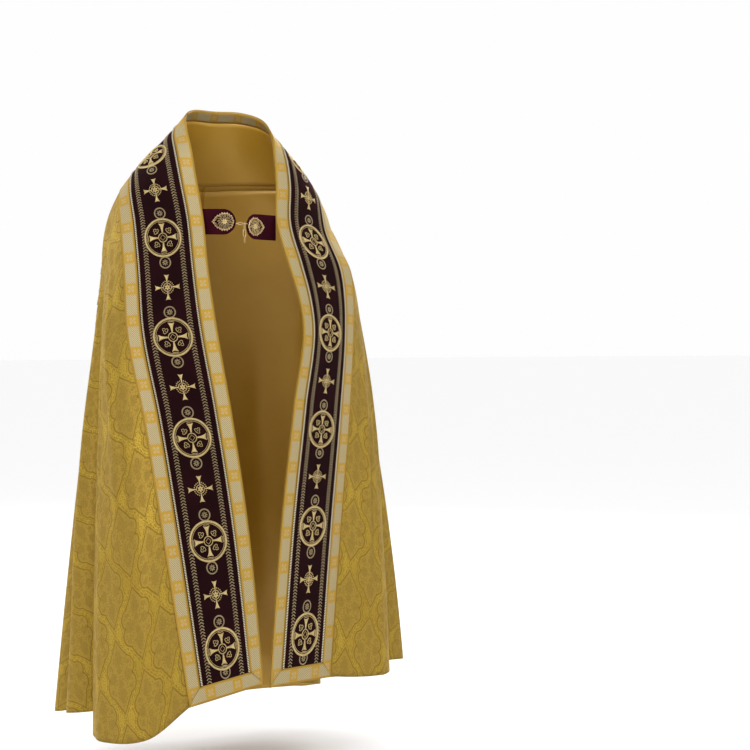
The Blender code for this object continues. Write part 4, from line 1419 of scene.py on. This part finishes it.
def make_plate(side):
    """A gilt filigree leaf: a toothed rim, scrolls, petals and a bead in the middle."""
    base = TAB_THICKNESS / 2 + GAP
    under = tab_face(side)
    work = Stitches(lambda places, lifts: under(places, lifts + base))
    angle = np.linspace(0, 2 * math.pi, 97)[:-1]
    reach = plate_reach(angle)
    rim = np.stack([PLATE_CENTRE + 1.08 * reach * np.cos(angle), reach * np.sin(angle)], axis=-1)
    middle = np.array([PLATE_CENTRE, 0.0])
    work.stroke(middle + (rim - middle) * 0.89, 0.0016, 0.0022, closed=True)
    work.stroke(middle + (rim - middle) * 0.78, 0.0008, 0.0012, closed=True)
    for k in range(PLATE_TEETH):
        turn = 2 * math.pi * (k + 0.5) / PLATE_TEETH
        tooth = drop_shape(0.0034, 0.0024, 8) + [plate_reach(turn) * 0.87, 0.0]
        work.fill(turned(tooth, math.degrees(turn), middle), 0.0018)
    work.stroke(arc(middle, 0.0080, 0, 360, 41)[:-1], 0.0010, 0.0014, closed=True)
    for k in range(8):
        turn = 45 * k
        swirl = np.linspace(0, 2.2 * math.pi, 22)
        size = 0.0032 * (1 - swirl / (2.8 * math.pi))
        scroll = np.stack([0.0122 + size * np.cos(swirl), size * np.sin(swirl)], axis=-1)
        work.stroke(turned(scroll, turn, middle), 0.0011, 0.0018)
        spoke = turned([(0.0078, 0.0), (0.0115, 0.0016), (0.0168, 0.0)], turn + 22.5, middle)
        work.stroke(spoke, 0.0010, 0.0016)
        petal = drop_shape(0.0056, 0.0030, 10) + [0.0014, 0]
        work.fill(turned(petal, turn + 22.5, middle), 0.0022)
    ring(work, middle, 0.0010, 0.0013, 0.0030, 12)
    for way in (-1, 1):
        work.stroke(middle + [(0.0175, way * 0.0042), (0.0215, way * 0.0024), (0.0285, 0.0)], 0.0010, 0.0018)
    plate = work.make(f"filigree_{side}", "metal", "gold_metal", side == "left")
    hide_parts(f"clasp_plate_{side}")


def make_clasp():
    for side in SIDES:
        make_tab(side)
        make_plate(side)
    for name in ("clasp_hook", "clasp_eye", "clasp_link", "chain_link_1", "chain_link_2", "chain_link_3"):
        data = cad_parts[name].data
        data.materials.clear()
        data.materials.append(MATERIALS["metal"])


# The studio.

CAMERA_AT = (-1.231, -3.384, -0.45)
CAMERA_TURN = 5.33  # degrees to the right of the neck
CAMERA_TILT = -1.43
CAMERA_LENS = 75.2
LIGHTS_AIM = (0.0, 0.0, -0.65)
WORLD_STRENGTH = 0.99
FLOOR_COLOUR = (0.955, 0.955, 0.955)
FLOOR_HALF = 60.0


def make_camera():
    data = bpy.data.cameras.new("camera")
    data.lens = CAMERA_LENS
    camera = new_object("camera", data)
    camera.location = CAMERA_AT
    heading = math.atan2(-CAMERA_AT[0], -CAMERA_AT[1]) + math.radians(CAMERA_TURN)
    camera.rotation_euler = (math.radians(90 + CAMERA_TILT), 0.0, -heading)
    bpy.context.scene.camera = camera


# Columns: name, at, size, power.
LIGHTS = (
    ("key", (-2.6, -3.4, 1.7), 2.0, 62.0),
    ("fill", (3.0, -2.6, 0.4), 2.6, 14.0),
    ("back_left", (2.4, 3.2, 1.4), 2.0, 55.0),
    ("back_right", (-2.6, 2.8, 0.6), 2.4, 24.0),
    ("top", (0.0, -0.4, 2.6), 2.2, 22.0),
)


def make_lights():
    for name, at, size, power in LIGHTS:
        data = bpy.data.lights.new(name, "AREA")
        data.size = size
        data.energy = power
        light = new_object(name, data)
        light.location = at
        aim = Vector(LIGHTS_AIM) - Vector(at)
        light.rotation_euler = aim.to_track_quat("-Z", "Y").to_euler()
    world = bpy.data.worlds.new("studio")
    world.use_nodes = True
    background = world.node_tree.nodes["Background"]
    background.inputs["Color"].default_value = (1.0, 1.0, 1.0, 1.0)
    background.inputs["Strength"].default_value = WORLD_STRENGTH
    bpy.context.scene.world = world
    bpy.context.scene.view_settings.view_transform = "Standard"


def make_floor():
    made = Finish("floor_paper", FLOOR_COLOUR, 0.75)
    made.relief(made.noise(60.0, 3.0), 0.0004, 0.2)
    ways = ((-1, -1), (1, -1), (1, 1), (-1, 1))
    corners = [(x * FLOOR_HALF, y * FLOOR_HALF, FLOOR_Z) for x, y in ways]
    data = bpy.data.meshes.new("floor")
    data.from_pydata(corners, [], [(0, 1, 2, 3)])
    data.materials.append(made.material)
    new_object("floor", data)


for side in SIDES:
    make_mantle(side)
    make_band(side)
    make_orphrey_work(side)
make_neck()
make_back_braid()
make_hood()
make_hood_trims()
make_hood_work()
make_fringe()
make_clasp()
make_floor()
make_lights()
make_camera()
